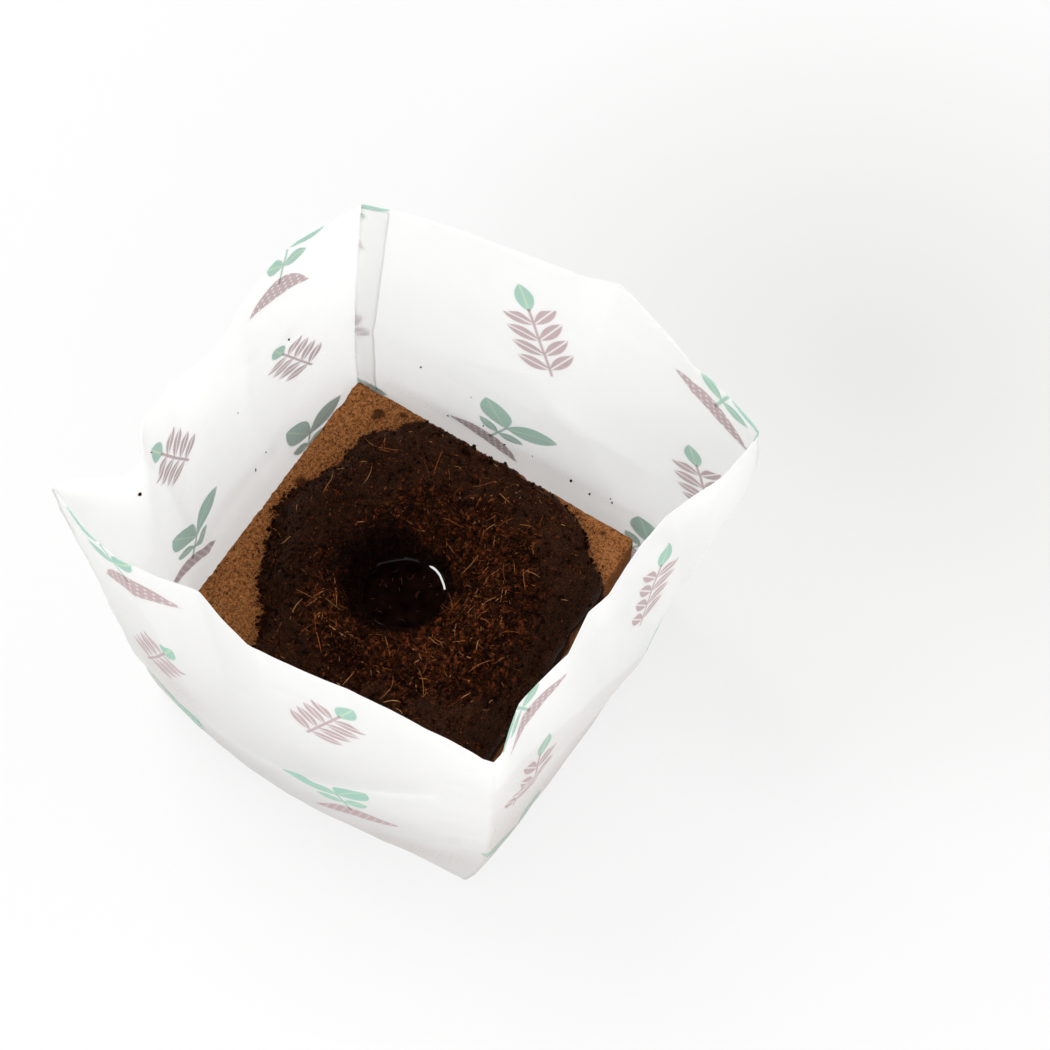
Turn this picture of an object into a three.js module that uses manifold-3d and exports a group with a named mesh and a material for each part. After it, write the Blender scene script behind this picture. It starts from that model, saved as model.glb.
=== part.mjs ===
// A coir pot: a square grow bag of thin spunbond cloth that stands open round a pressed coir block.
// The block's top has been soaked. It has swollen into a dark mound with a water-filled planting hole.
// Millimetres, +Z up. The origin is the centre of the bag's underside, and -Y is the near side.

import * as THREE from "three";
import { mergeVertices } from "three/addons/utils/BufferGeometryUtils.js";
import Module from "manifold-3d";

const wasm = await Module();
wasm.setup();

// Bag: a square base and four walls that lean and bulge between their corner folds
const BASE_SIDE = 204;
const BAG_HEIGHT = 230;
const CLOTH_THICKNESS = 0.8;
const PACKING_FOLD_HEIGHT = 128;
const FLARE_POWER = 1.2;
const LAP_WIDTH = 12;

// Running gaps between pieces that touch on the real pot
const CONTACT_GAP = 0.3;
const FOLD_GAP = 0.3;
const BASE_EDGE_GAP = 0.5;

// Corner folds, anticlockwise from the right one. side: which base corner the fold starts from.
// lean: how far the rim end has moved from that corner in x and y. belly: the most that the fold
// wanders from the leaning line, at the share "peak" of its height. drop: how much lower its rim end is.
const CORNER_FOLDS = [
  { side: [1, 1], lean: [29, 11], belly: [12, 6], peak: 0.65, drop: 16 },
  { side: [-1, 1], lean: [17, 7], belly: [0, -8], peak: 0.45, drop: 1 },
  { side: [-1, -1], lean: [-18, 12], belly: [16, -8], peak: 0.6, drop: 0 },
  { side: [1, -1], lean: [12, 18], belly: [8, 7], peak: 0.3, drop: 7 },
];

// Walls, each from one corner fold to the next. rimOffset: how far the rim's middle stands outside the
// straight line between the folds. belly and peak: the bulge below it. sway: an S-shaped wave of the rim.
const WALLS = [
  { name: "wall_far_right", rimOffset: 26, belly: 1, peak: 0.5, sway: 4 },
  { name: "wall_far_left", rimOffset: -5, belly: 13, peak: 0.5, sway: 8 },
  { name: "wall_near_left", rimOffset: 9, belly: 21, peak: 0.28, sway: 0 },
  { name: "wall_near_right", rimOffset: -6, belly: 9, peak: 0.2, sway: 0 },
];

// Buckle beside the left corner, where the far-left wall is pushed in and leaves the corner as an ear.
// It runs up the wall from a foot to the rim, each given as a place across the wall and a height share.
const BUCKLE = { wall: 1, rimAlong: 0.87, footAlong: 0.8, footShare: 0.4, depth: 15, width: 14, power: 1.5 };
const SWAY_POWER = 2;
const WALL_COLUMNS = 14;
const LAP_COLUMNS = 3;
const WALL_ROWS_BELOW_FOLD = 7;
const WALL_ROWS_ABOVE_FOLD = 6;

// How far to each side the cloth's direction is read from, in wall widths, and the sharpest mitre's cosine
const TANGENT_REACH = 0.02;
const MITRE_LIMIT = 0.5;

// Dry block: a pressed slab that stands on the base panel, pushed towards the far corner
const BLOCK_ROOM = 12;
const BLOCK_PUSH = 4;
const BLOCK_HEIGHT = 65;
const BLOCK_CORNER_RADIUS = 4;
const BLOCK_EDGE_BEVEL = 1.5;
const BLOCK_CORNER_SEGMENTS = 3;

// Planting hole: a round pit in the block, open upwards through the mound
const PIT_OFFSET = [4, -2];
const PIT_RADIUS = 25;
const PIT_DEPTH = 24;
const WATER_DROP = 5;
const ROUND_SEGMENTS = 32;

// Wet mound: its edge on the block, in shares of the block's half side, anticlockwise
const MOUND_EDGE = [
  [0.985, 0.2], [0.985, 0.62], [0.88, 0.79], [0.73, 0.91], [0.58, 0.975], [0.2, 0.98],
  [-0.18, 0.98], [-0.47, 0.955], [-0.62, 0.8], [-0.73, 0.59], [-0.81, 0.33], [-0.89, 0.09],
  [-0.9, -0.13], [-0.8, -0.36], [-0.69, -0.52], [-0.58, -0.61], [-0.51, -0.75], [-0.47, -0.97],
  [0, -0.985], [0.5, -0.985], [0.97, -0.97], [0.985, -0.5],
];
const MOUND_RISE = 24;
const MOUND_EDGE_THICKNESS = 7;
const MOUND_FAR_EDGE_THICKNESS = 19;
const MOUND_EDGE_RUN = 16;
const FAR_EDGE_START = 0.15;
const FAR_EDGE_FULL = 0.85;
const HOLE_LIP_THICKNESS = 3;
const HOLE_STEEP_RUN = 9;
const HOLE_GENTLE_RUN = 30;
const HOLE_STEEP_DIRECTION = 170;
const LUMP_HEIGHT = 1.6;
const LUMP_SPACING = 34;
const LUMP_PHASES = [1, 0.4];
const MOUND_COLUMNS = 60;
const MOUND_ROWS = 9;

// Loose fibres: tufts of bent strands that cross in one spot, on the mound in rings round the hole
const TUFT_RINGS = [0.42, 0.68];
const TUFTS_PER_RING = 6;
const STRANDS_PER_TUFT = 3;
const STRAND_LENGTH = 19;
const STRAND_RADIUS = 0.5;
const STRAND_STEPS = 4;
const STRAND_LIFT = 0.3;
const STRAND_BEND = 1.2;
const STRAND_BEND_STEP = 2.1;

const BLOCK_SIDE = BASE_SIDE - 2 * BLOCK_ROOM;
const BLOCK_CENTRE = [-BLOCK_PUSH, BLOCK_PUSH];
const BLOCK_BOTTOM = CLOTH_THICKNESS + CONTACT_GAP;
const BLOCK_TOP = BLOCK_BOTTOM + BLOCK_HEIGHT;
const HOLE_CENTRE = [BLOCK_CENTRE[0] + PIT_OFFSET[0], BLOCK_CENTRE[1] + PIT_OFFSET[1]];
const MOUND_BOTTOM = BLOCK_TOP + CONTACT_GAP;

function clothMaterial() {
  return new THREE.MeshStandardMaterial({ color: 0xf2f1ee, roughness: 0.9, metalness: 0 });
}

function dryCoirMaterial() {
  return new THREE.MeshStandardMaterial({ color: 0x7a4f2e, roughness: 1, metalness: 0 });
}

function wetCoirMaterial() {
  return new THREE.MeshStandardMaterial({ color: 0x2a1810, roughness: 0.8, metalness: 0 });
}

function waterMaterial() {
  return new THREE.MeshStandardMaterial({ color: 0x0c0807, roughness: 0.05, metalness: 0 });
}

function fibreMaterial() {
  return new THREE.MeshStandardMaterial({ color: 0xa5662f, roughness: 0.7, metalness: 0 });
}

// A closed body between two grids of points. front faces out where its columns run anticlockwise and its
// rows run up. wraps joins the last column to the first, and then back may have fewer rows than front.
function shellBetween(front, back, wraps) {
  const columns = front[0].length;
  const points = [...front.flat(), ...back.flat()];
  const faces = [];
  const frontAt = (row, column) => row * columns + (column % columns);
  const backAt = (row, column) => (front.length + row) * columns + (column % columns);
  const addQuad = (a, b, c, d) => faces.push(a, b, c, a, c, d);
  const steps = wraps ? columns : columns - 1;
  const lastFront = front.length - 1;
  const lastBack = back.length - 1;
  for (let c = 0; c < steps; c++) {
    for (let r = 0; r < lastFront; r++) {
      addQuad(frontAt(r, c), frontAt(r, c + 1), frontAt(r + 1, c + 1), frontAt(r + 1, c));
    }
    for (let r = 0; r < lastBack; r++) {
      addQuad(backAt(r, c + 1), backAt(r, c), backAt(r + 1, c), backAt(r + 1, c + 1));
    }
    addQuad(backAt(0, c), backAt(0, c + 1), frontAt(0, c + 1), frontAt(0, c));
    addQuad(frontAt(lastFront, c), frontAt(lastFront, c + 1), backAt(lastBack, c + 1), backAt(lastBack, c));
  }
  if (!wraps) {
    for (let r = 0; r < lastFront; r++) {
      addQuad(backAt(r, 0), frontAt(r, 0), frontAt(r + 1, 0), backAt(r + 1, 0));
      addQuad(frontAt(r, steps), backAt(r, steps), backAt(r + 1, steps), frontAt(r + 1, steps));
    }
  }
  const geometry = new THREE.BufferGeometry().setFromPoints(points);
  geometry.setIndex(faces);
  geometry.computeVertexNormals();
  return geometry;
}

function solidFrom(geometry) {
  const bare = new THREE.BufferGeometry();
  bare.setAttribute("position", geometry.getAttribute("position"));
  bare.setIndex(geometry.index);
  const merged = mergeVertices(bare, 1e-4);
  return new wasm.Manifold(
    new wasm.Mesh({
      numProp: 3,
      vertProperties: new Float32Array(merged.getAttribute("position").array),
      triVerts: new Uint32Array(merged.index.array),
    }),
  );
}

function geometryFrom(solid) {
  const mesh = solid.getMesh();
  const geometry = new THREE.BufferGeometry();
  geometry.setAttribute("position", new THREE.BufferAttribute(new Float32Array(mesh.vertProperties), 3));
  geometry.setIndex(new THREE.BufferAttribute(new Uint32Array(mesh.triVerts), 1));
  geometry.computeVertexNormals();
  return geometry;
}

// A bulge that is 0 at the foot and at the rim and 1 at the share "peak" of the height
function hump(share, peak) {
  const exponent = Math.log(0.5) / Math.log(peak);
  return Math.sin(Math.PI * Math.min(share, 1) ** exponent);
}

// 0 up to the packing fold, then rising to 1 at the rim
function flareAbovePackingFold(share) {
  const fold = PACKING_FOLD_HEIGHT / BAG_HEIGHT;
  return (Math.max(0, share - fold) / (1 - fold)) ** FLARE_POWER;
}

// How far the buckle pushes the cloth in: deepest at the rim, in a round groove across the wall
function buckleAt(index, along, share) {
  const climb = Math.max(0, (share - BUCKLE.footShare) / (1 - BUCKLE.footShare));
  const centre = BUCKLE.footAlong + (BUCKLE.rimAlong - BUCKLE.footAlong) * climb;
  const distance = ((along - centre) * BASE_SIDE) / BUCKLE.width;
  return index === BUCKLE.wall ? BUCKLE.depth * climb ** BUCKLE.power * Math.exp(-(distance ** 2)) : 0;
}

// The corner fold's place at a share of its height, on the cloth's inner face
function cornerFoldAt(corner, share) {
  const bulge = hump(share, corner.peak);
  return new THREE.Vector3(
    (corner.side[0] * BASE_SIDE) / 2 + corner.lean[0] * share + corner.belly[0] * bulge,
    (corner.side[1] * BASE_SIDE) / 2 + corner.lean[1] * share + corner.belly[1] * bulge,
    (BAG_HEIGHT - corner.drop) * share,
  );
}

// The cloth's inner face. across runs from 0 to 4 round the bag, one whole number at each corner fold:
// the straight line between two folds, plus the wall's bow, which is widest in its middle.
function clothAt(across, share) {
  const turn = ((across % 4) + 4) % 4;
  const index = Math.floor(turn);
  const along = turn - index;
  const wall = WALLS[index];
  const start = CORNER_FOLDS[index];
  const end = CORNER_FOLDS[(index + 1) % 4];
  const middle = 4 * along * (1 - along);
  const bow = wall.rimOffset * flareAbovePackingFold(share) + wall.belly * hump(share, wall.peak);
  const wave = wall.sway * Math.sin(2 * Math.PI * along) * share ** SWAY_POWER;
  const outward = new THREE.Vector3(start.side[0] + end.side[0], start.side[1] + end.side[1], 0);
  return cornerFoldAt(start, share)
    .lerp(cornerFoldAt(end, share), along)
    .addScaledVector(outward.normalize(), bow * middle + wave - buckleAt(index, along, share));
}

// The cloth's inner face moved level and outwards by a distance. At a corner fold the move is along the
// mitre, and longer, so that the cloth keeps its thickness on both sides of the fold.
function clothOffset(across, share, distance) {
  const here = clothAt(across, share);
  const before = here.clone().sub(clothAt(across - TANGENT_REACH, share)).setZ(0).normalize();
  const after = clothAt(across + TANGENT_REACH, share).sub(here).setZ(0).normalize();
  const tangent = before.clone().add(after).normalize();
  const mitre = Math.max(tangent.dot(after), MITRE_LIMIT);
  return here.addScaledVector(new THREE.Vector3(tangent.y, -tangent.x, 0), distance / mitre);
}

function wallRowShares() {
  const fold = PACKING_FOLD_HEIGHT / BAG_HEIGHT;
  const shares = [];
  for (let r = 0; r < WALL_ROWS_BELOW_FOLD; r++) {
    shares.push((fold * r) / WALL_ROWS_BELOW_FOLD);
  }
  for (let r = 0; r <= WALL_ROWS_ABOVE_FOLD; r++) {
    shares.push(fold + ((1 - fold) * r) / WALL_ROWS_ABOVE_FOLD);
  }
  return shares;
}

function range(count, first, last) {
  return Array.from({ length: count + 1 }, (_, i) => first + ((last - first) * i) / count);
}

function makeWall(index) {
  const trim = FOLD_GAP / 2 / BASE_SIDE;
  const columns = range(WALL_COLUMNS, index + trim, index + 1 - trim);
  const sheet = (distance) =>
    wallRowShares().map((share) => columns.map((across) => clothOffset(across, share, distance)));
  const mesh = new THREE.Mesh(shellBetween(sheet(CLOTH_THICKNESS), sheet(0), false), clothMaterial());
  mesh.name = WALLS[index].name;
  return mesh;
}

// The cloth's other end turns the far corner and lies inside the far-right wall as a lap.
function makeSeamLap() {
  const farCorner = 1;
  const clearance = CLOTH_THICKNESS + CONTACT_GAP;
  const freeEdge = farCorner - (clearance + LAP_WIDTH) / BASE_SIDE;
  const columns = range(LAP_COLUMNS, freeEdge, farCorner - clearance / BASE_SIDE);
  const foot = BLOCK_BOTTOM / BAG_HEIGHT;
  const shares = [foot, ...wallRowShares().slice(1)];
  const sheet = (distance) =>
    shares.map((share) => columns.map((across) => clothOffset(across, share, distance)));
  const outer = sheet(-CONTACT_GAP);
  const inner = sheet(-CONTACT_GAP - CLOTH_THICKNESS);
  const mesh = new THREE.Mesh(shellBetween(outer, inner, false), clothMaterial());
  mesh.name = "seam_lap";
  return mesh;
}

function makeBasePanel() {
  const side = BASE_SIDE - 2 * BASE_EDGE_GAP;
  const mesh = new THREE.Mesh(new THREE.BoxGeometry(side, side, CLOTH_THICKNESS), clothMaterial());
  mesh.position.z = CLOTH_THICKNESS / 2;
  mesh.name = "base_panel";
  return mesh;
}

function roundedSquare(side, radius) {
  const half = side / 2 - radius;
  const outline = new THREE.Shape();
  outline.absarc(half, half, radius, 0, Math.PI / 2);
  outline.absarc(-half, half, radius, Math.PI / 2, Math.PI);
  outline.absarc(-half, -half, radius, Math.PI, 1.5 * Math.PI);
  outline.absarc(half, -half, radius, 1.5 * Math.PI, 2 * Math.PI);
  outline.closePath();
  return outline;
}

function makeDryBlock() {
  const bevel = BLOCK_EDGE_BEVEL;
  const slab = new THREE.ExtrudeGeometry(roundedSquare(BLOCK_SIDE - 2 * bevel, BLOCK_CORNER_RADIUS), {
    depth: BLOCK_HEIGHT - 2 * bevel,
    bevelThickness: bevel,
    bevelSize: bevel,
    bevelSegments: 1,
    curveSegments: BLOCK_CORNER_SEGMENTS,
  });
  slab.translate(BLOCK_CENTRE[0], BLOCK_CENTRE[1], BLOCK_BOTTOM + bevel);
  const pit = new THREE.CylinderGeometry(PIT_RADIUS, PIT_RADIUS, 2 * PIT_DEPTH, ROUND_SEGMENTS);
  pit.rotateX(Math.PI / 2);
  pit.translate(HOLE_CENTRE[0], HOLE_CENTRE[1], BLOCK_TOP);
  const mesh = new THREE.Mesh(geometryFrom(solidFrom(slab).subtract(solidFrom(pit))), dryCoirMaterial());
  mesh.name = "dry_block";
  return mesh;
}

function makeWaterPool() {
  const depth = PIT_DEPTH - WATER_DROP - CONTACT_GAP;
  const radius = PIT_RADIUS - CONTACT_GAP;
  const mesh = new THREE.Mesh(
    new THREE.CylinderGeometry(radius, radius, depth, ROUND_SEGMENTS),
    waterMaterial(),
  );
  mesh.rotation.x = Math.PI / 2;
  mesh.position.set(HOLE_CENTRE[0], HOLE_CENTRE[1], BLOCK_TOP - WATER_DROP - depth / 2);
  mesh.name = "water_pool";
  return mesh;
}

function smoothRise(value) {
  const share = Math.min(Math.max(value, 0), 1);
  return share * share * (3 - 2 * share);
}

function moundEdgePoints() {
  const half = BLOCK_SIDE / 2;
  const edge = MOUND_EDGE.map(
    ([x, y]) => new THREE.Vector3(BLOCK_CENTRE[0] + x * half, BLOCK_CENTRE[1] + y * half, 0),
  );
  return new THREE.CatmullRomCurve3(edge, true).getSpacedPoints(MOUND_COLUMNS).slice(0, MOUND_COLUMNS);
}

// Thickness of the wet mound at a point, from its distances to the hole's lip and to its own edge.
// The hole's wall is steep towards HOLE_STEEP_DIRECTION and gentle on the other side. The edge is thick
// on the far side, where the coir has swollen most, between two sines of the direction from the hole.
function moundThickness(point, fromHole, fromEdge) {
  const direction = Math.atan2(point.y - HOLE_CENTRE[1], point.x - HOLE_CENTRE[0]);
  const steepness = (1 + Math.cos(direction - (HOLE_STEEP_DIRECTION * Math.PI) / 180)) / 2;
  const holeRun = HOLE_GENTLE_RUN + (HOLE_STEEP_RUN - HOLE_GENTLE_RUN) * steepness;
  const farness = smoothRise((Math.sin(direction) - FAR_EDGE_START) / (FAR_EDGE_FULL - FAR_EDGE_START));
  const edge = MOUND_EDGE_THICKNESS + (MOUND_FAR_EDGE_THICKNESS - MOUND_EDGE_THICKNESS) * farness;
  const full = edge + (MOUND_RISE - edge) * smoothRise(fromEdge / MOUND_EDGE_RUN);
  const wave = (2 * Math.PI) / LUMP_SPACING;
  const lumpsAcross = Math.sin(point.x * wave + LUMP_PHASES[0]) * Math.sin(point.y * wave + LUMP_PHASES[1]);
  const lumpy = full + LUMP_HEIGHT * lumpsAcross;
  return HOLE_LIP_THICKNESS + (lumpy - HOLE_LIP_THICKNESS) * smoothRise(fromHole / holeRun);
}

// The mound's top as rows from its edge inwards to the hole's lip, each anticlockwise
function moundTopRows() {
  const outline = moundEdgePoints();
  const centre = new THREE.Vector3(HOLE_CENTRE[0], HOLE_CENTRE[1], 0);
  return range(MOUND_ROWS, 1, 0).map((share) =>
    outline.map((edge) => {
      const spoke = edge.clone().sub(centre);
      const width = spoke.length() - PIT_RADIUS;
      const point = centre.clone().addScaledVector(spoke.normalize(), PIT_RADIUS + width * share);
      return point.setZ(MOUND_BOTTOM + moundThickness(point, width * share, width * (1 - share)));
    }),
  );
}

function moundGeometry() {
  const top = moundTopRows();
  const bottom = [top[0], top[MOUND_ROWS]].map((row) => row.map((p) => p.clone().setZ(MOUND_BOTTOM)));
  return shellBetween(top, bottom, true);
}

function makeWetMound() {
  const mesh = new THREE.Mesh(moundGeometry(), wetCoirMaterial());
  mesh.name = "wet_mound";
  return mesh;
}

// A point on the mound's facets: turn is the share of the way round, share runs from hole to edge.
function moundSurfaceAt(rows, turn, share) {
  const column = (((turn % 1) + 1) % 1) * MOUND_COLUMNS;
  const row = (1 - share) * MOUND_ROWS;
  const c = Math.floor(column);
  const r = Math.min(Math.floor(row), MOUND_ROWS - 1);
  const next = (c + 1) % MOUND_COLUMNS;
  const outer = rows[r][c].clone().lerp(rows[r][next], column - c);
  const inner = rows[r + 1][c].clone().lerp(rows[r + 1][next], column - c);
  return outer.lerp(inner, row - r);
}

// The highest of the mound's facets within half a strand's step of a point, so a strand spans a lump
function highestSurfaceNear(rows, turn, share, round, width) {
  const reach = STRAND_LENGTH / STRAND_STEPS / 2;
  const nearby = [-reach, 0, reach].flatMap((around) =>
    [-reach, 0, reach].map((out) => moundSurfaceAt(rows, turn + around / round, share + out / width).z),
  );
  return Math.max(...nearby);
}

// One strand: a bent tube with four sides, laid along the mound through a spot in a given heading
function strandGeometry(rows, spot, heading, bend) {
  const centre = moundSurfaceAt(rows, spot.turn, spot.share);
  const edge = moundSurfaceAt(rows, spot.turn, 1);
  const width = Math.hypot(edge.x - centre.x, edge.y - centre.y) / (1 - spot.share);
  const round = 2 * Math.PI * (PIT_RADIUS + width * spot.share);
  const places = range(STRAND_STEPS, -STRAND_LENGTH / 2, STRAND_LENGTH / 2).map((along) => {
    const angle = heading + (bend * along) / STRAND_LENGTH;
    const turn = spot.turn + (Math.sin(angle) * along) / round;
    const share = spot.share + (Math.cos(angle) * along) / width;
    const surface = highestSurfaceNear(rows, turn, share, round, width);
    return moundSurfaceAt(rows, turn, share).setZ(surface + STRAND_LIFT + STRAND_RADIUS);
  });
  const section = new THREE.Shape();
  section.moveTo(STRAND_RADIUS, 0);
  section.lineTo(0, STRAND_RADIUS);
  section.lineTo(-STRAND_RADIUS, 0);
  section.lineTo(0, -STRAND_RADIUS);
  section.closePath();
  const path = new THREE.CatmullRomCurve3(places);
  return new THREE.ExtrudeGeometry(section, { steps: STRAND_STEPS, extrudePath: path });
}

// Strands joined where they cross, and trimmed underneath so that they rest just clear of the mound
function makeTuft(rows, spot, number, lifted) {
  const strands = range(STRANDS_PER_TUFT - 1, 0, STRANDS_PER_TUFT - 1).map((order) => {
    const heading = number + (Math.PI * order) / STRANDS_PER_TUFT;
    const bend = STRAND_BEND * Math.sin(STRAND_BEND_STEP * number + order);
    return solidFrom(strandGeometry(rows, spot, heading, bend));
  });
  const joined = strands.reduce((tuft, strand) => tuft.add(strand));
  const mesh = new THREE.Mesh(geometryFrom(joined.subtract(lifted)), fibreMaterial());
  mesh.name = `fibre_tuft_${String(number).padStart(2, "0")}`;
  return mesh;
}

function makeFibreTufts() {
  const rows = moundTopRows();
  const lifted = solidFrom(moundGeometry().translate(0, 0, CONTACT_GAP));
  return TUFT_RINGS.flatMap((share, ring) =>
    Array.from({ length: TUFTS_PER_RING }, (_, i) => {
      const spot = { turn: (i + 0.5 * ring) / TUFTS_PER_RING, share };
      return makeTuft(rows, spot, ring * TUFTS_PER_RING + i + 1, lifted);
    }),
  );
}

const bag = new THREE.Group();
WALLS.forEach((_, index) => bag.add(makeWall(index)));
bag.add(makeSeamLap(), makeBasePanel());

const coir = new THREE.Group();
coir.add(makeDryBlock(), makeWetMound(), makeWaterPool(), ...makeFibreTufts());

const coirPot = new THREE.Group();
coirPot.add(bag, coir);

export default coirPot;
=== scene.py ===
# %% [markdown]
# # A coir pot, dressed in Blender
# The real object is a square grow bag of thin white spunbond cloth, printed with leaves. It stands open round
# a pressed coir block. The block's top has been soaked: it has swollen into a dark, crumbly mound, with loose
# coconut fibres on it and a planting hole that holds a little water.
#
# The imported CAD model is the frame. It says where each piece is, and it stays as it is. The finished pieces
# are worked out with numpy from the same few sizes, stand in the places of the plain solids, and ride on the
# same two bodies: the bag, and the coir fill that lifts out of it.

# %% Load the frame
import itertools
import math

import bpy
import numpy as np
from mathutils import Matrix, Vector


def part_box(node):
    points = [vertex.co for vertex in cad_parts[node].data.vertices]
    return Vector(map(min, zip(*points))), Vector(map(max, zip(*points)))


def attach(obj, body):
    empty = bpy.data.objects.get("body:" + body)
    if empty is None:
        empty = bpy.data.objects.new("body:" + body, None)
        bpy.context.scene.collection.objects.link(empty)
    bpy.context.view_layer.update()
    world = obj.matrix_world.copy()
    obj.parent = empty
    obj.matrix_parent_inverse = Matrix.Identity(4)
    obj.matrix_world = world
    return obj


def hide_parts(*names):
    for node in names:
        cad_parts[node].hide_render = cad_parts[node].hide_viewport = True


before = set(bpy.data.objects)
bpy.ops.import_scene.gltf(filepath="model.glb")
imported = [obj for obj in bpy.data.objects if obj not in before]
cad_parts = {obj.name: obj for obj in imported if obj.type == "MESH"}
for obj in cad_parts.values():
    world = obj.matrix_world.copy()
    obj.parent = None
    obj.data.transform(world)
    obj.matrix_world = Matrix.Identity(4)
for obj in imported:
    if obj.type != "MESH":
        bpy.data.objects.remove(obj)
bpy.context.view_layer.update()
MM = 0.001

# %% [markdown]
# ## The camera
# The photograph looks down into the bag from a steep angle. Lines that are level and upright on the real pot
# run together in it like those of a lens of about 58 mm, from nearly a metre away. The camera is turned half
# a degree about its own axis, as a hand-held one is. Its three axes are worked out from the direction that
# it looks from, and go into one matrix with its place, so nothing has to be aimed.

# %% Make the camera
CAMERA_PLACE = (0.2264, -0.2388, 0.9223)
CAMERA_AZIMUTH = math.radians(32)
CAMERA_ELEVATION = math.radians(67)
CAMERA_ROLL = math.radians(0.5)
CAMERA_LENS = 58.3


def make_camera():
    """A camera at CAMERA_PLACE. Its back axis points from what it sees to the camera, its right axis is level
    before the roll, and its up axis is back times right."""
    level = math.cos(CAMERA_ELEVATION)
    rise = math.sin(CAMERA_ELEVATION)
    back = np.array([math.sin(CAMERA_AZIMUTH) * level, -math.cos(CAMERA_AZIMUTH) * level, rise])
    right = np.array([math.cos(CAMERA_AZIMUTH), math.sin(CAMERA_AZIMUTH), 0])
    up = np.cross(back, right)
    turned_right = right * math.cos(CAMERA_ROLL) + up * math.sin(CAMERA_ROLL)
    turned_up = up * math.cos(CAMERA_ROLL) - right * math.sin(CAMERA_ROLL)
    camera = bpy.data.objects.new("camera", bpy.data.cameras.new("camera"))
    bpy.context.scene.collection.objects.link(camera)
    rows = np.eye(4)
    rows[:3, :3] = np.stack([turned_right, turned_up, back], axis=1)
    rows[:3, 3] = CAMERA_PLACE
    camera.matrix_world = Matrix(rows.tolist())
    camera.data.sensor_width = 36
    camera.data.lens = CAMERA_LENS
    camera.data.clip_start = 0.01
    bpy.context.scene.camera = camera


make_camera()
bpy.context.scene.view_settings.view_transform = "Standard"
print("camera", round(math.dist(CAMERA_PLACE, (0, 0, 0)), 2), "m from the pot's origin")

# %% [markdown]
# ## Shader maths as Python expressions
# A finish here is a formula: a mask for a leaf, a cloud of fibres, a stain. Wiring such formulas by hand
# takes pages. So one small class wraps a socket, and each operator on it adds the Math node that does the
# sum. Colours go through a Mix node, because a Math node would turn them grey.

# %% Make the shader helpers
class Value:
    """An output socket that takes part in sums. Numbers and other values may stand on either side."""

    def __init__(self, finish, socket):
        self.finish = finish
        self.socket = socket

    def math(self, operation, *others):
        """A Math node of the operation on this value and the others."""
        return self.finish.add("Math", {"operation": operation}, dict(enumerate((self, *others))))

    def __add__(self, other):
        return self.math("ADD", other)

    def __sub__(self, other):
        return self.math("SUBTRACT", other)

    def __rsub__(self, other):
        return self.finish.add("Math", {"operation": "SUBTRACT"}, {0: other, 1: self})

    def __mul__(self, other):
        return self.math("MULTIPLY", other)

    def __truediv__(self, other):
        return self.math("DIVIDE", other)

    def __pow__(self, other):
        return self.math("POWER", other)

    def __abs__(self):
        return self.math("ABSOLUTE")

    __radd__ = __add__
    __rmul__ = __mul__

    def clamp(self):
        """This value, kept from 0 to 1."""
        return self.finish.add("Clamp", {}, {0: self})

    def above(self, limit, softness):
        """0 well below the limit, 1 well above it, and a ramp as wide as the softness between them."""
        return ((self - limit) / softness + 0.5).clamp()


class Finish:
    """A material that is being made. add() makes any node, and mix() and bump() the two most used ones."""

    def __init__(self, name):
        self.material = bpy.data.materials.new(name)
        self.material.use_nodes = True
        self.tree = self.material.node_tree
        self.tree.nodes.clear()

    def add(self, kind, settings, values, output=0):
        """A node of the kind. Settings come first, then the values or links of its sockets."""
        node = self.tree.nodes.new("ShaderNode" + kind)
        for name, setting in settings.items():
            if name == "stops":
                while len(node.color_ramp.elements) < len(setting):
                    node.color_ramp.elements.new(1)
                for element, (position, colour) in zip(node.color_ramp.elements, setting):
                    element.position = position
                    element.color = (*colour, 1)
            else:
                setattr(node, name, setting)
        for name, value in values.items():
            socket = node.inputs[name]
            if isinstance(value, Value):
                self.tree.links.new(value.socket, socket)
            elif socket.type == "RGBA":
                socket.default_value = (*value, 1)
            else:
                socket.default_value = value
        return Value(self, node.outputs[output])

    def mix(self, start, end, share):
        """A colour between two colours."""
        return self.add("Mix", {"data_type": "RGBA"}, {0: share, 6: start, 7: end}, output=2)

    def noise(self, place, scale, detail=3, roughness=0.55, distortion=0):
        """Cloudy noise from 0 to 1 with scale features to the metre."""
        return self.add("TexNoise", {}, {
            "Vector": place, "Scale": scale, "Detail": detail, "Roughness": roughness,
            "Distortion": distortion})

    def bump(self, height, depth, strength=1):
        """A normal that is tilted as if the surface rose by height times depth in metres."""
        return self.add("Bump", {}, {"Height": height, "Distance": depth, "Strength": strength})

    def finish(self, shader):
        """Links the shader to the material's output, and returns the material."""
        output = self.tree.nodes.new("ShaderNodeOutputMaterial")
        self.tree.links.new(shader.socket, output.inputs["Surface"])
        return self.material


print("shader helpers ready")

# %% [markdown]
# ## Floor and light
# The pot stands on a white table in a bright white room. Most of the light is the even sky's. A soft window
# lamp on the left leaves the right side in a light shade, and a room lamp reaches down into the bag. Two
# weak, low lamps behind and to the left shine through the thin cloth. The light stays at a level at which a
# colour looks as it is written. The table and the sky look whiter to the camera than they are to the light,
# so that they can be nearly white without more light on the pot, and the table keeps a part of its shadow.
# The white that the camera sees on the table has painted shade in it, grey to the far right where the room's
# light falls off, and painted light, whiter towards the near side where the pot's shadow falls.
#
# Two things are there for the water alone, which is a mirror. A strip of light, seen only by glossy surfaces,
# gives it its bright line, and a black card over the pot darkens the rest, as in a photographer's studio.

# %% Make the floor and the lamps
FLOOR_HALF_WIDTH = 3.0
FLOOR_GLOW = 0.8
SKY_STRENGTH = 0.8
SKY_SEEN = 0.93
CARD_HALF_WIDTH = 0.85


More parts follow.
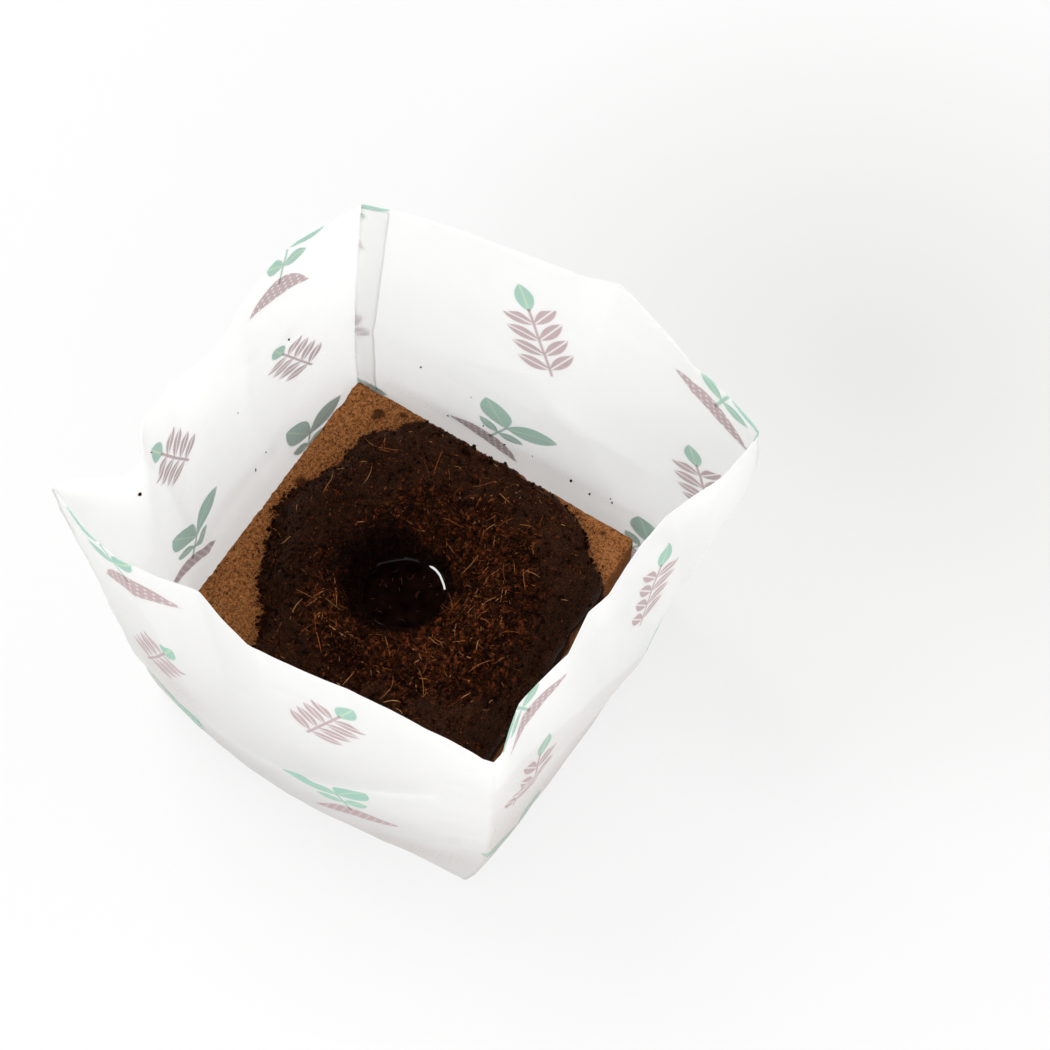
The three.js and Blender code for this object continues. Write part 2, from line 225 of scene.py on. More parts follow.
def facing_pot(place, height):
    """A matrix for a thing at a place. Its back axis points away from the pot's axis at a height, and its
    right axis is level."""
    back = np.array(place) - (0, 0, height)
    back = back / np.linalg.norm(back)
    right = np.cross((0, 0, 1), back)
    right = right / np.linalg.norm(right)
    rows = np.eye(4)
    rows[:3, :3] = np.stack([right, np.cross(back, right), back], axis=1)
    rows[:3, 3] = place
    return Matrix(rows.tolist())


def aim_lamp(name, place, width, height, power):
    """A rectangular lamp at a place, turned so that it shines at the pot's middle."""
    lamp = bpy.data.objects.new(name, bpy.data.lights.new(name, "AREA"))
    bpy.context.scene.collection.objects.link(lamp)
    lamp.data.shape = "RECTANGLE"
    lamp.data.size = width
    lamp.data.size_y = height
    lamp.data.energy = power
    lamp.matrix_world = facing_pot(place, 0.1)
    return lamp


def flat_square(name, half, look):
    """A stage piece: a level square about its own origin."""
    mesh = bpy.data.meshes.new(name)
    corners = [(-half, -half, 0), (half, -half, 0), (half, half, 0), (-half, half, 0)]
    mesh.from_pydata(corners, [], [(0, 1, 2, 3)])
    square = bpy.data.objects.new(name, mesh)
    bpy.context.scene.collection.objects.link(square)
    mesh.materials.append(look)
    return square


def table_look():
    """Matt and pale. The camera and mirrors see it mixed with a white that has painted shade and light in it:
    grey to the far right, where the room's light falls off, and whiter towards the near side, where the pot's
    shadow falls.
    """
    look = Finish("white table")
    place = look.add("TexCoord", {}, {}, output="Object")
    # Painted shade: the white turns grey round a spot to the far right, where the room's light falls off
    away = look.add("VectorMath", {"operation": "DISTANCE"}, {0: place, 1: (0.14, 0.30, 0)}, output="Value")
    painted_shade_and_light = look.mix((0.74, 0.74, 0.725), (0.93, 0.93, 0.93), (away / 0.30).clamp())
    # Painted light: whiter towards the near side, where the pot's shadow falls
    near = look.add(
        "VectorMath", {"operation": "DOT_PRODUCT"}, {0: place, 1: (1.5, -2.4, 0)}, output="Value")
    painted_shade_and_light = look.mix(painted_shade_and_light, (0.99, 0.99, 0.99), (near - 0.15).clamp())
    glow = look.add("Emission", {}, {"Color": painted_shade_and_light, "Strength": 1})
    matt = look.add("BsdfPrincipled", {}, {
        "Base Color": (0.84, 0.84, 0.835), "Roughness": 0.9, "Specular IOR Level": 0.1})
    seen = sum((look.add("LightPath", {}, {}, output=f"Is {ray} Ray") for ray in ("Glossy", "Transmission")),
               look.add("LightPath", {}, {}, output="Is Camera Ray"))
    return look.finish(look.add("MixShader", {}, {0: seen.clamp() * FLOOR_GLOW, 1: matt, 2: glow}))


def make_sky():
    """Even white light from all round, which the camera sees at the strength SKY_SEEN."""
    world = bpy.data.worlds.new("sky")
    world.use_nodes = True
    bpy.context.scene.world = world
    nodes = world.node_tree.nodes
    seen = nodes.new("ShaderNodeLightPath")
    strength = nodes.new("ShaderNodeMath")
    strength.operation = "MULTIPLY_ADD"
    strength.inputs[1].default_value = SKY_SEEN - SKY_STRENGTH
    strength.inputs[2].default_value = SKY_STRENGTH
    nodes["Background"].inputs["Color"].default_value = (1, 1, 1, 1)
    world.node_tree.links.new(seen.outputs["Is Camera Ray"], strength.inputs[0])
    world.node_tree.links.new(strength.outputs[0], nodes["Background"].inputs["Strength"])


def black_look():
    """Black and matt."""
    look = Finish("black card")
    return look.finish(look.add("BsdfDiffuse", {}, {"Color": (0, 0, 0)}))


def for_mirrors_only(thing):
    """Only glossy surfaces see the thing, and it casts no shadow."""
    thing.visible_camera = False
    thing.visible_diffuse = False
    thing.visible_transmission = False
    thing.visible_shadow = False


floor = flat_square("floor", FLOOR_HALF_WIDTH, table_look())
floor.location.z = -0.0002
make_sky()
window_lamp = aim_lamp("window_lamp", (-0.90, 0.30, 1.55), 0.9, 0.9, 15)
window_lamp.visible_glossy = False
aim_lamp("left_lamp", (-1.50, 0.25, 0.35), 1.2, 0.5, 4.5)
aim_lamp("back_lamp", (0.25, 1.45, 0.45), 1.4, 0.6, 3.5)
aim_lamp("room_lamp", (0.80, -1.15, 0.95), 1.4, 1.2, 11.5)
for_mirrors_only(aim_lamp("strip_lamp", (-0.396, -0.334, 1.46), 1.0, 0.13, 16))
card = flat_square("black_card", CARD_HALF_WIDTH, black_look())
card.matrix_world = facing_pot((-0.457, 0.488, 1.74), 0.06)
for_mirrors_only(card)

# %% [markdown]
# ## Noise on whole arrays
# Crumbly and crumpled things need shapes that never repeat. Value noise gives them: a random number at each
# point of a lattice, with smooth blending in between. The random number of a lattice point comes from
# stirring its whole-number coordinates, so the same point always gives the same number and every run looks
# the same. Grain noise is the distance to the nearest of many scattered centres, which looks like packed
# grains.

# %% Make the noise functions
def stirred(cells, seed):
    """A number from 0 to 1 for each row of three whole numbers: their sum times large odd numbers, with its
    high bits folded onto its low ones."""
    mixed = cells.astype(np.int64) @ np.array([374761393, 668265263, 1103515245]) + seed * 40503
    mixed = mixed & 0xFFFFFFFF
    mixed = ((mixed ^ (mixed >> 13)) * 1274126177) & 0xFFFFFFFF
    mixed = ((mixed ^ (mixed >> 15)) * 2246822519) & 0xFFFFFFFF
    return ((mixed ^ (mixed >> 16)) & 0xFFFFFF) / 0xFFFFFF


def smooth_noise(points, size, seed):
    """From -1 to 1: random numbers on a cubic lattice of the size, blended along each axis by 3t^2 - 2t^3."""
    scaled = points / size
    base = np.floor(scaled)
    ease = scaled - base
    ease = ease * ease * (3 - 2 * ease)
    total = np.zeros(points.shape[:-1])
    for corner in itertools.product((0, 1), repeat=3):
        weight = np.where(corner, ease, 1 - ease).prod(axis=-1)
        total += weight * stirred(base + corner, seed)
    return 2 * total - 1


def layered_noise(points, size, seed, layers=3):
    """Smooth noise plus half as much at half the size, and so on."""
    steps = range(layers)
    return sum(smooth_noise(points, size / 2**step, seed + step) / 2**step for step in steps)


def grain_noise(points, size, seed):
    """0 between grains to 1 at a grain's middle: each lattice cell holds one centre at a random spot, and the
    height falls with the distance to the nearest centre."""
    scaled = points / size
    base = np.floor(scaled)
    nearest = np.full(points.shape[:-1], 9.0)
    for corner in itertools.product((-1, 0, 1), repeat=3):
        cell = base + corner
        spot = np.stack([stirred(cell, seed + axis) for axis in range(3)], axis=-1)
        nearest = np.minimum(nearest, ((cell + spot - scaled) ** 2).sum(axis=-1))
    return 1 - np.minimum(np.sqrt(nearest), 1)


def smooth_rise(value):
    """0 below 0, 1 above 1, and 3t^2 - 2t^3 between."""
    share = np.clip(value, 0, 1)
    return share * share * (3 - 2 * share)


print("noise at the origin:", round(float(smooth_noise(np.zeros((1, 3)), 1, 1)[0]), 3))

# %% [markdown]
# ## Grids into meshes
# Every surface below is a grid of points, some with their last column joined to the first, and some closed
# with one point at each end. One function turns such a grid into a Blender piece: it lists the faces by
# counting, sets smooth shading, and adds the numbers that the finish reads.

# %% Make the mesh helpers
def grid_faces(rows, columns, wrap_columns=False, wrap_rows=False):
    """Quads between neighbouring points of a grid, numbered row by row."""
    row, column = np.meshgrid(
        np.arange(rows if wrap_rows else rows - 1), np.arange(columns if wrap_columns else columns - 1),
        indexing="ij")
    row_after = (row + 1) % rows
    column_after = (column + 1) % columns
    quads = [row * columns + column, row * columns + column_after, row_after * columns + column_after,
             row_after * columns + column]
    return np.stack(quads, axis=-1).reshape(-1, 4)


def grid_normals(points, wrap_columns=False):
    """The direction across a grid's surface at each point: along the columns times along the rows."""
    if wrap_columns:
        along = np.roll(points, -1, axis=1) - np.roll(points, 1, axis=1)
    else:
        along = np.gradient(points, axis=1)
    up = np.gradient(points, axis=0)
    normals = np.cross(along, up)
    return normals / np.maximum(np.linalg.norm(normals, axis=-1, keepdims=True), 1e-9)


def make_piece(name, points, faces, body, look, numbers=None, uv=None):
    """A smooth mesh object from points in millimetres and faces, which rides on a body. numbers are named
    values for each point, and uv is a place on the flat cloth in metres for each point."""
    mesh = bpy.data.meshes.new(name)
    corner_lists = faces if isinstance(faces, list) else faces.tolist()
    mesh.from_pydata((points.reshape(-1, 3) * MM).tolist(), [], corner_lists)
    mesh.polygons.foreach_set("use_smooth", np.full(len(mesh.polygons), True))
    for title, values in (numbers or {}).items():
        attribute = mesh.attributes.new(title, "FLOAT", "POINT")
        attribute.data.foreach_set("value", values.astype(np.float32).ravel())
    if uv is not None:
        corner = np.empty(len(mesh.loops), np.int32)
        mesh.loops.foreach_get("vertex_index", corner)
        layer = mesh.uv_layers.new(name="cloth")
        layer.data.foreach_set("uv", uv.reshape(-1, 2)[corner].astype(np.float32).ravel())
    mesh.materials.append(look)
    piece = bpy.data.objects.new(name, mesh)
    bpy.context.scene.collection.objects.link(piece)
    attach(piece, body)
    print(f"{name}: {len(mesh.vertices)} points, {len(mesh.polygons)} faces")
    return piece


def with_poles(points, wrap_faces):
    """Faces of a grid that is closed at both ends: the first and last rows shrink to one point each."""
    rows, columns = points.shape[:2]
    first, last = rows * columns, rows * columns + 1
    around = np.arange(columns)
    after = (around + 1) % columns
    bottom = np.stack([np.full(columns, first), after, around], axis=-1)
    top = (rows - 1) * columns
    cap = np.stack([np.full(columns, last), top + around, top + after], axis=-1)
    poles = [points[0].mean(axis=0)[None], points[-1].mean(axis=0)[None]]
    closed = np.concatenate([points.reshape(-1, 3), *poles])
    return closed, wrap_faces.tolist() + bottom.tolist() + cap.tolist()


print("faces of a grid of 3 by 4 points:", len(grid_faces(3, 4)))

# %% [markdown]
# ## The bag's shape
# The bag was folded flat for packing, and then stood open. It has a square base and four corner folds that
# lean outwards, each a little differently. Between two folds a wall runs straight, plus a bow that is widest
# in its middle. Above the old packing fold the walls flare. By the left corner the wall has buckled inwards
# and leaves the corner as an ear.
#
# A cloth simulation could find such a shape, but never this one: the bag keeps the bends that packing gave
# it. So the shape is a formula of two parameters, across (a whole number at each corner fold) and share (of
# the height), and it is the same formula as in the CAD model.

# %% Work out the bag's sizes
BASE_EDGE_GAP = 0.5
PACKING_FOLD_HEIGHT = 128
FLARE_POWER = 1.2
SWAY_POWER = 2
base_low, base_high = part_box("base_panel")
BASE_SIDE = (base_high.x - base_low.x) / MM + 2 * BASE_EDGE_GAP
BAG_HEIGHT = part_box("wall_near_left")[1].z / MM

# Corner folds, anticlockwise from the right one, and the walls that start at them
CORNER_SIDE = np.array([[1, 1], [-1, 1], [-1, -1], [1, -1]])
CORNER_LEAN = np.array([[29, 11], [17, 7], [-18, 12], [12, 18]])
CORNER_BELLY = np.array([[12, 6], [0, -8], [16, -8], [8, 7]])
CORNER_PEAK = np.array([0.65, 0.45, 0.6, 0.3])
CORNER_DROP = np.array([16, 1, 0, 7])
WALL_RIM_OFFSET = np.array([26, -5, 9, -6])
WALL_BELLY = np.array([1, 13, 21, 9])
WALL_PEAK = np.array([0.5, 0.5, 0.28, 0.2])
WALL_SWAY = np.array([4, 8, 0, 0])
BUCKLE = {"wall": 1, "rim": 0.87, "foot": 0.8, "foot_share": 0.4, "depth": 15, "width": 14, "power": 1.5}
print(f"bag: {BASE_SIDE:.0f} mm square, {BAG_HEIGHT:.0f} mm tall")


# %% Give the bag's inner face
def hump(share, peak):
    """0 at the foot and the rim and 1 at the share "peak": the sine of pi times a power of the share."""
    return np.sin(np.pi * np.minimum(share, 1) ** (math.log(0.5) / np.log(peak)))


def flare_above_fold(share):
    """0 up to the packing fold, then rising to 1 at the rim."""
    fold = PACKING_FOLD_HEIGHT / BAG_HEIGHT
    return (np.maximum(0, share - fold) / (1 - fold)) ** FLARE_POWER


def corner_fold(corner, share):
    """A corner fold's place: its base corner, plus its lean times the share, plus a hump."""
    level = CORNER_SIDE[corner] * BASE_SIDE / 2 + CORNER_LEAN[corner] * share[..., None]
    level = level + CORNER_BELLY[corner] * hump(share, CORNER_PEAK[corner])[..., None]
    height = (BAG_HEIGHT - CORNER_DROP[corner]) * share
    return np.concatenate([level, height[..., None]], axis=-1)


def bag_face(across, share):
    """The cloth's inner face: the line between two folds, plus the wall's bow, its wave and its buckle."""
    wall = np.floor(across).astype(int) % 4
    along = across - np.floor(across)
    after = (wall + 1) % 4
    start, end = corner_fold(wall, share), corner_fold(after, share)
    bow = WALL_RIM_OFFSET[wall] * flare_above_fold(share) + WALL_BELLY[wall] * hump(share, WALL_PEAK[wall])
    wave = WALL_SWAY[wall] * np.sin(2 * np.pi * along) * share**SWAY_POWER
    climb = np.maximum(0, (share - BUCKLE["foot_share"]) / (1 - BUCKLE["foot_share"]))
    centre = BUCKLE["foot"] + (BUCKLE["rim"] - BUCKLE["foot"]) * climb
    groove = np.exp(-(((along - centre) * BASE_SIDE / BUCKLE["width"]) ** 2))
    buckle = np.where(wall == BUCKLE["wall"], BUCKLE["depth"] * climb ** BUCKLE["power"] * groove, 0)
    outward = CORNER_SIDE[wall] + CORNER_SIDE[after]
    outward = outward / np.linalg.norm(outward, axis=-1, keepdims=True)
    out = 4 * along * (1 - along) * bow + wave - buckle
    level = start[..., :2] * (1 - along[..., None]) + end[..., :2] * along[..., None]
    level = level + outward * out[..., None]
    height = start[..., 2] * (1 - along) + end[..., 2] * along
    return np.concatenate([level, height[..., None]], axis=-1)


print("rim at the middle of the far-right wall:", bag_face(np.array([0.5]), np.array([1.0])).round())

# %% [markdown]
# ## Creases and crumples
# Stiff cloth bends along lines. Each crease here is a line of a few points on the flat cloth, where the cloth
# stands in or out like the ridge of a tent, and falls off on both sides. Small crumples are ridged noise,
# which has sharp tops and flat hollows as paper has. The rim has kinks of its own, which fade down the wall.
# The bottom edge rolls under the base in a small round.

# %% Give the creases
# Depth in mm, outwards if positive, spread in mm, and points of (across, height in mm)
CREASES = (
    (-2.6, 15, ((0.97, 130), (0.73, 144), (0.55, 157), (0.47, 140), (0.36, 122), (0.22, 78))),
    (-1.6, 9, ((0.45, 138), (0.32, 130), (0.18, 124))),
    (-2.4, 12, ((1.40, 188), (1.21, 162), (1.04, 139))),
    (-2.4, 11, ((1.40, 188), (1.36, 112), (1.35, 63))),
    (-3.0, 8, ((1.80, 222), (1.74, 180), (1.69, 110), (1.66, 50))),
    (3.4, 11, ((2.04, 97), (2.31, 106), (2.38, 99), (2.56, 103), (2.70, 124), (2.85, 150))),
    (1.5, 7, ((2.31, 106), (2.22, 150), (2.20, 205))),
    (3.0, 13, ((3.03, 150), (3.25, 128), (3.60, 104))),
    (1.4, 9, ((3.55, 106), (3.70, 165), (3.66, 215))),
)
CREASE_TIP = 1.6
# The rim's small kinks, as (across, mm outwards). They fade down the wall as the height share to this power
RIM_KINKS = (
    (0.18, -6), (0.33, 0), (0.42, 5), (0.50, 0), (0.70, -1), (0.85, 1), (1.00, 0), (1.17, 4.5), (1.38, 1),
    (1.47, -1), (1.55, 1), (1.64, 6), (1.76, 3), (1.82, -2), (1.90, -1), (1.97, 0), (2.00, -4), (2.12, 2),
    (2.21, 3.5), (2.29, 1), (2.37, -4.5), (2.45, 0.5), (2.51, 4), (2.59, 2), (2.71, -1), (2.85, -1),
    (2.97, 1), (3.02, 2.5), (3.13, -3.5), (3.29, 3), (3.40, -1), (3.46, 1.5), (3.60, -2), (3.70, -2.5),
    (3.76, -1), (3.86, 4), (3.96, 4),
)
KINK_POWER = 4
CRUMPLE_SIZE = 52
CRUMPLE_DEPTH = 1.5
RIPPLE_SIZE = 15
RIPPLE_DEPTH = 0.28
FOOT_RADIUS = 3
RIM_WAVER = 1.2


def distance_to_line(places, points):
    """The distance from each place to the nearest stretch of a line through the points."""
    nearest = np.full(places.shape[:-1], np.inf)
    for start, end in zip(points[:-1], points[1:]):
        stretch = end - start
        share = np.clip((places - start) @ stretch / (stretch @ stretch), 0, 1)
        nearest = np.minimum(nearest, np.linalg.norm(places - start - share[..., None] * stretch, axis=-1))
    return nearest


def crease_offset(across, height):
    """How far the cloth stands out: for each crease its depth times exp(-distance / spread), rounded off."""
    places = np.stack([(across % 4) * BASE_SIDE, height], axis=-1)
    total = np.zeros(across.shape)
    for depth, spread, points in CREASES:
        distance = distance_to_line(places, np.array(points) * (BASE_SIDE, 1))
        total += depth * np.exp((CREASE_TIP - np.hypot(distance, CREASE_TIP)) / spread)
    return total


def crumple_offset(across, height):
    """Ridged noise, 1 less twice the size of smooth noise, plus small ripples. It fades at the foot."""
    flat = np.stack([across * BASE_SIDE, height, np.zeros(across.shape)], axis=-1)
    ridges = 1 - 2 * np.abs(smooth_noise(flat * (1, 0.6, 1), CRUMPLE_SIZE, 11))
    small = 1 - 2 * np.abs(smooth_noise(flat, CRUMPLE_SIZE / 2, 15))
    ripples = layered_noise(flat, RIPPLE_SIZE, 21)
    fade = smooth_rise(height / 25)
    return fade * (CRUMPLE_DEPTH * (0.5 * ridges + 0.25 * small) + RIPPLE_DEPTH * ripples)


def kink_offset(across, share):
    """How far the rim stands out at its kinks, with straight lines between them and less further down."""
    places, offsets = np.array(RIM_KINKS).T
    return np.interp(across, places, offsets, period=4) * share**KINK_POWER


print("creases:", len(CREASES), "kinks:", len(RIM_KINKS))

# %% [markdown]
# ## The cloth
# The wrap is one cloth. It starts as a lap inside the far-right wall, turns the far corner and runs once
# round the bag, back to that corner. One sheet takes the places of the four walls and the lap. A Solidify
# modifier gives it its thickness, outwards from the inner face, so that the coir keeps its room.

# %% Lay out the cloth
LAP_WIDTH = 12
LAP_INSET = 0.55
CLOTH_THICKNESS = 0.45
CLOTH_COLUMNS = 340
CLOTH_ROWS = 112
FOOT_ROWS = 6
TANGENT_REACH = 0.012


def cloth_points(across, height):
    """The inner face with its creases. Each point moves level, square to the cloth's run at its height."""
    share = height / BAG_HEIGHT
    here = bag_face(across, share)
    before = here - bag_face(across - TANGENT_REACH, share)
    after = bag_face(across + TANGENT_REACH, share) - here
    run = sum(step / np.linalg.norm(step, axis=-1, keepdims=True) for step in (before, after))
    outward = np.stack([run[..., 1], -run[..., 0]], axis=-1)
    outward = outward / np.linalg.norm(outward, axis=-1, keepdims=True)
    lap = LAP_INSET * (1 - smooth_rise((across - 1) * BASE_SIDE / 3 + 1))
    low = np.maximum(FOOT_RADIUS - height, 0)
    foot = FOOT_RADIUS - np.sqrt(FOOT_RADIUS**2 - low**2)
    out = crease_offset(across, height) + crumple_offset(across, height) + kink_offset(across, share)
    here[..., :2] += outward * (out - lap - foot)[..., None]
    waver = RIM_WAVER * smooth_noise(np.stack([across * BASE_SIDE, 0 * height, 0 * height], axis=-1), 30, 31)
    here[..., 2] += waver * share**8 + (CLOTH_THICKNESS + 0.15) * (1 - share)
    return here


first_column = 1 - LAP_WIDTH / BASE_SIDE
foot_heights = FOOT_RADIUS * (1 - np.cos(np.linspace(0, np.pi / 2, FOOT_ROWS)))
wall_heights = np.linspace(FOOT_RADIUS, BAG_HEIGHT, CLOTH_ROWS - FOOT_ROWS + 1)[1:]
heights = np.concatenate([foot_heights, wall_heights])
turns = np.linspace(1, 5, CLOTH_COLUMNS - 7)
columns = np.concatenate([np.linspace(first_column, 1, 8)[:-1], turns])
cloth_height, cloth_across = np.meshgrid(heights, columns, indexing="ij")
cloth = cloth_points(cloth_across, cloth_height)
print("cloth grid", cloth.shape[:2], "highest point", round(cloth[..., 2].max(), 1), "mm")

# %% [markdown]
# ## Where coir has marked the cloth, and where shade is painted on it
# Wet coir shows through the thin cloth as a pinkish, grainy grey low on the near walls. The same colour
# is also painted shade where these walls turn under and face down: in two patches on the near-left wall,
# and on the near-right wall up to a fold. Dry dust clings just above the block's edge and near the far
# corner. In the buckle a brown mark is painted shade on the crest's far side. The marks are soft blobs on
# the flat cloth, and the near-right one lies below a fold line. Each is kept as one number per point, which
# the finish turns into colour.

# %% Mark the cloth
# Damp coir colour and painted shade, low on the near-left wall where it faces down
# Place (across, height in mm), half widths in mm, and strength
DAMP_AND_SHADE_BLOBS = (((2.18, 112), (30, 14), 0.8), ((2.80, 36), (44, 20), 1.0))
# On the near-right wall the damp colour and painted shade reach up to a fold: points of (across, height in
# mm)
DAMP_AND_SHADE_FOLD = ((3.00, 178), (3.13, 170), (3.26, 160), (3.39, 144), (3.60, 112), (3.85, 80), (4.00, 60))
# Dust above the block's edge and near the far corner. The tall narrow blob at 1.70 is painted shade in the
# buckle
DUST_AND_SHADE_BLOBS = (
    ((1.23, 166), (10, 6), 0.6), ((0.75, 72), (42, 9), 0.8), ((0.35, 70), (50, 7), 0.6),
    ((1.5, 74), (60, 8), 0.6), ((1.70, 110), (5, 70), 0.5),
)


def blobs(spots, across, height):
    """The strongest of some soft round blobs at each point of the flat cloth."""
    total = np.zeros(across.shape)
    for (middle, level), (half_width, half_height), strength in spots:
        away = ((across % 4 - middle) * BASE_SIDE / half_width) ** 2 + ((height - level) / half_height) ** 2
        total = np.maximum(total, strength * np.exp(-(away**1.5)))
    return total


# Damp coir colour with painted shade where the near walls turn under and face down
damp = blobs(DAMP_AND_SHADE_BLOBS, cloth_across, cloth_height)
below_fold = np.interp(cloth_across, *np.array(DAMP_AND_SHADE_FOLD).T, left=-99, right=-99) - cloth_height
damp = np.maximum(damp, smooth_rise(below_fold / 7) * (0.55 + 0.55 * smooth_rise(below_fold / 100)))
dust = blobs(DUST_AND_SHADE_BLOBS, cloth_across, cloth_height)
doubled = (np.minimum(np.abs(cloth_across - 1), np.abs(cloth_across - 5)) < LAP_WIDTH / BASE_SIDE) * 1.0
doubled[(cloth_across > 1) & (cloth_across < 2)] = 0
print("share of the cloth that is damp:", round(float((damp > 0.3).mean()), 2))

# %% [markdown]
# ## The cloth's finish
# Spunbond cloth is pressed together from fine plastic filaments at small points, in a close pattern. It is
# matt, cloudy where the filaments lie thicker, and lets much light through. Less comes through where ink,
# damp, dust or painted shade covers it. The print is generic: seedlings with two leaves, and sprigs, tilted
# in turn and set in columns that are half a step apart. Each leaf is a formula: 4wt(1-t) less the distance
# from its midrib, which is above 0 inside the leaf.

# %% Make the cloth's finish
PRINT_COLUMN = 98
PRINT_ROW = 92
PRINT_TILT = 0.85
BOND_PITCH = 1.25
INK_GREEN = (0.10, 0.46, 0.31)
INK_LEAF = (0.36, 0.65, 0.29)
INK_MAUVE = (0.36, 0.145, 0.165)
CLOTH_WHITE = (0.96, 0.96, 0.955)
LETS_THROUGH = 0.67
DOUBLED_LETS_THROUGH = 0.8


def leaf(x, y, slope, length, half_width):
    """A leaf from the origin along a slope in radians: its mask, and a mask of its midrib."""
    run = (x * math.cos(slope) + y * math.sin(slope)) / length
    aside = abs(y * math.cos(slope) - x * math.sin(slope))
    inside = run * (1 - run) * (4 * half_width) - aside
    return inside.above(0, 0.5), (1 - aside.above(0.4, 0.4)) * inside.above(0.3, 0.5)


def printed(look, u, v):
    """Three masks of the print: green, light green and mauve."""
    column = (u / PRINT_COLUMN).math("FLOOR")
    lifted = v / PRINT_ROW + (column.math("FLOORED_MODULO", 2)) * 0.5
    row = lifted.math("FLOOR")
    odd = (column + row).math("FLOORED_MODULO", 2)
    cell_x = u - (column + 0.5) * PRINT_COLUMN
    cell_y = (lifted - row - 0.5) * PRINT_ROW
    tilt = (odd - 0.42) * PRINT_TILT
    x = cell_x * tilt.math("COSINE") - cell_y * tilt.math("SINE")
    y = cell_x * tilt.math("SINE") + cell_y * tilt.math("COSINE")
    side = abs(x)
    big, big_rib = leaf(side, y - 1, 0.68, 29, 8.5)
    small, small_rib = leaf(side, y + 9, 0.3, 15, 4.2)
    stem = (1 - abs(x).above(0.8, 0.5)) * y.above(-20, 1) * (1 - y.above(4, 1))
    pebble = ((x * 1.1 + y * 0.4).math("SINE") * (y * 1.3 - x * 0.3).math("SINE")).above(0.62, 0.3)
    soil = ((1 - (x / 24) ** 2) * 12 - y - 28).above(0, 0.6) * (y + 28).above(0, 0.6) * (1 - pebble * 0.7)
    repeat = (y + 22).math("FLOORED_MODULO", 9.5)
    pair, pair_rib = leaf(side, repeat, 0.6, 17, 3.4)
    span = y.above(-22, 0.6) * (1 - y.above(14.5, 0.6))
    tip, tip_rib = leaf(x, y - 14, math.pi / 2, 17, 4.6)
    twig = (1 - abs(x).above(0.7, 0.5)) * y.above(-26, 1) * (1 - y.above(16, 1))
    seedling, sprig = 1 - odd, odd
    green = (big + small - big_rib - small_rib + stem).clamp() * seedling + (tip - tip_rib).clamp() * sprig
    light = (big_rib + small_rib).clamp() * seedling + tip_rib * sprig
    mauve = soil * seedling + ((pair - pair_rib).math("MAXIMUM", 0) * span + twig).clamp() * sprig
    return green, light, mauve


def cloth_look():
    """White matt cloth with print, stains, bond points and clouds of filaments, and painted shade low on the
    near walls and in the buckle.
    """
    look = Finish("spunbond cloth")
    flat = look.add("UVMap", {"uv_map": "cloth"}, {})
    place = look.add("VectorMath", {"operation": "SCALE"}, {0: flat, "Scale": 1 / MM})
    u = look.add("SeparateXYZ", {}, {0: place}, output=0)
    v = look.add("SeparateXYZ", {}, {0: place}, output=1)
    cloud = look.noise(place, 0.35, 4, 0.6)
    filaments = look.noise(place, 2.2, 3, 0.7, 1.5)
    bond = (u * (2 * math.pi / BOND_PITCH)).math("SINE") * (v * (2 * math.pi / BOND_PITCH)).math("SINE")
    points = bond.above(0.45, 0.5)
    green, light, mauve = printed(look, u, v)
    worn = (0.80 - points * 0.36) * (filaments * 0.7 + 0.6).clamp()
    colour = look.mix(CLOTH_WHITE, (0.91, 0.91, 0.905), ((cloud - 0.45) * 1.3).clamp())
    colour = look.mix(colour, INK_GREEN, (green * worn).clamp())
    colour = look.mix(colour, INK_LEAF, (light * worn).clamp())
    colour = look.mix(colour, INK_MAUVE, (mauve * worn).clamp())
    # Damp coir and painted shade low on the near walls: a grainy pinkish grey
    damp_and_shade_here = look.add("Attribute", {"attribute_name": "damp"}, {}, output=2)
    grain = look.noise(place, 0.9, 5, 0.85)
    damp_and_shade_mask = (damp_and_shade_here * (grain - 0.40) * 4.2).clamp()
    colour = look.mix(colour, (0.56, 0.48, 0.46), damp_and_shade_mask)
    # Dust, and painted shade on the buckle's far side: brown specks
    dust_and_shade_here = look.add("Attribute", {"attribute_name": "dust"}, {}, output=2)
    specks = look.noise(place, 0.8, 4, 0.8).above(0.60, 0.10)
    dust_and_shade_mask = (dust_and_shade_here * (specks * 0.8 + (filaments - 0.38) * 0.6)).clamp()
    colour = look.mix(colour, (0.30, 0.15, 0.07), dust_and_shade_mask)
    height = filaments * 0.5 + points * -0.35 + cloud * 0.5
    normal = look.bump(height, 0.00016, 0.6)
    matt = look.add("BsdfPrincipled", {}, {
        "Base Color": colour, "Roughness": 0.85, "Specular IOR Level": 0.25, "Normal": normal})
    through = look.add("BsdfTranslucent", {}, {"Color": CLOTH_WHITE, "Normal": normal})
    doubled = look.add("Attribute", {"attribute_name": "doubled"}, {}, output=2)
    covered = ((green + light + mauve) * worn * 0.7 + damp_and_shade_mask * 0.6 + dust_and_shade_mask * 0.7).clamp()
    lets_through = (LETS_THROUGH - doubled * (LETS_THROUGH - DOUBLED_LETS_THROUGH)) * (1 - covered)
    return look.finish(look.add("MixShader", {}, {0: lets_through, 1: matt, 2: through}))


cloth_finish = cloth_look()
print("cloth finish nodes:", len(cloth_finish.node_tree.nodes))

# %% Make the cloth wrap
cloth_uv = np.stack([cloth_across * BASE_SIDE, cloth_height], axis=-1) * MM
cloth_wrap = make_piece(
    "cloth_wrap", cloth, grid_faces(len(heights), len(columns)), "bag", cloth_finish,
    {"damp": damp, "dust": dust, "doubled": doubled}, cloth_uv)
thickness = cloth_wrap.modifiers.new("thickness", "SOLIDIFY")
thickness.thickness = CLOTH_THICKNESS * MM
thickness.offset = 1
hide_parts("wall_far_right", "wall_far_left", "wall_near_left", "wall_near_right", "seam_lap")

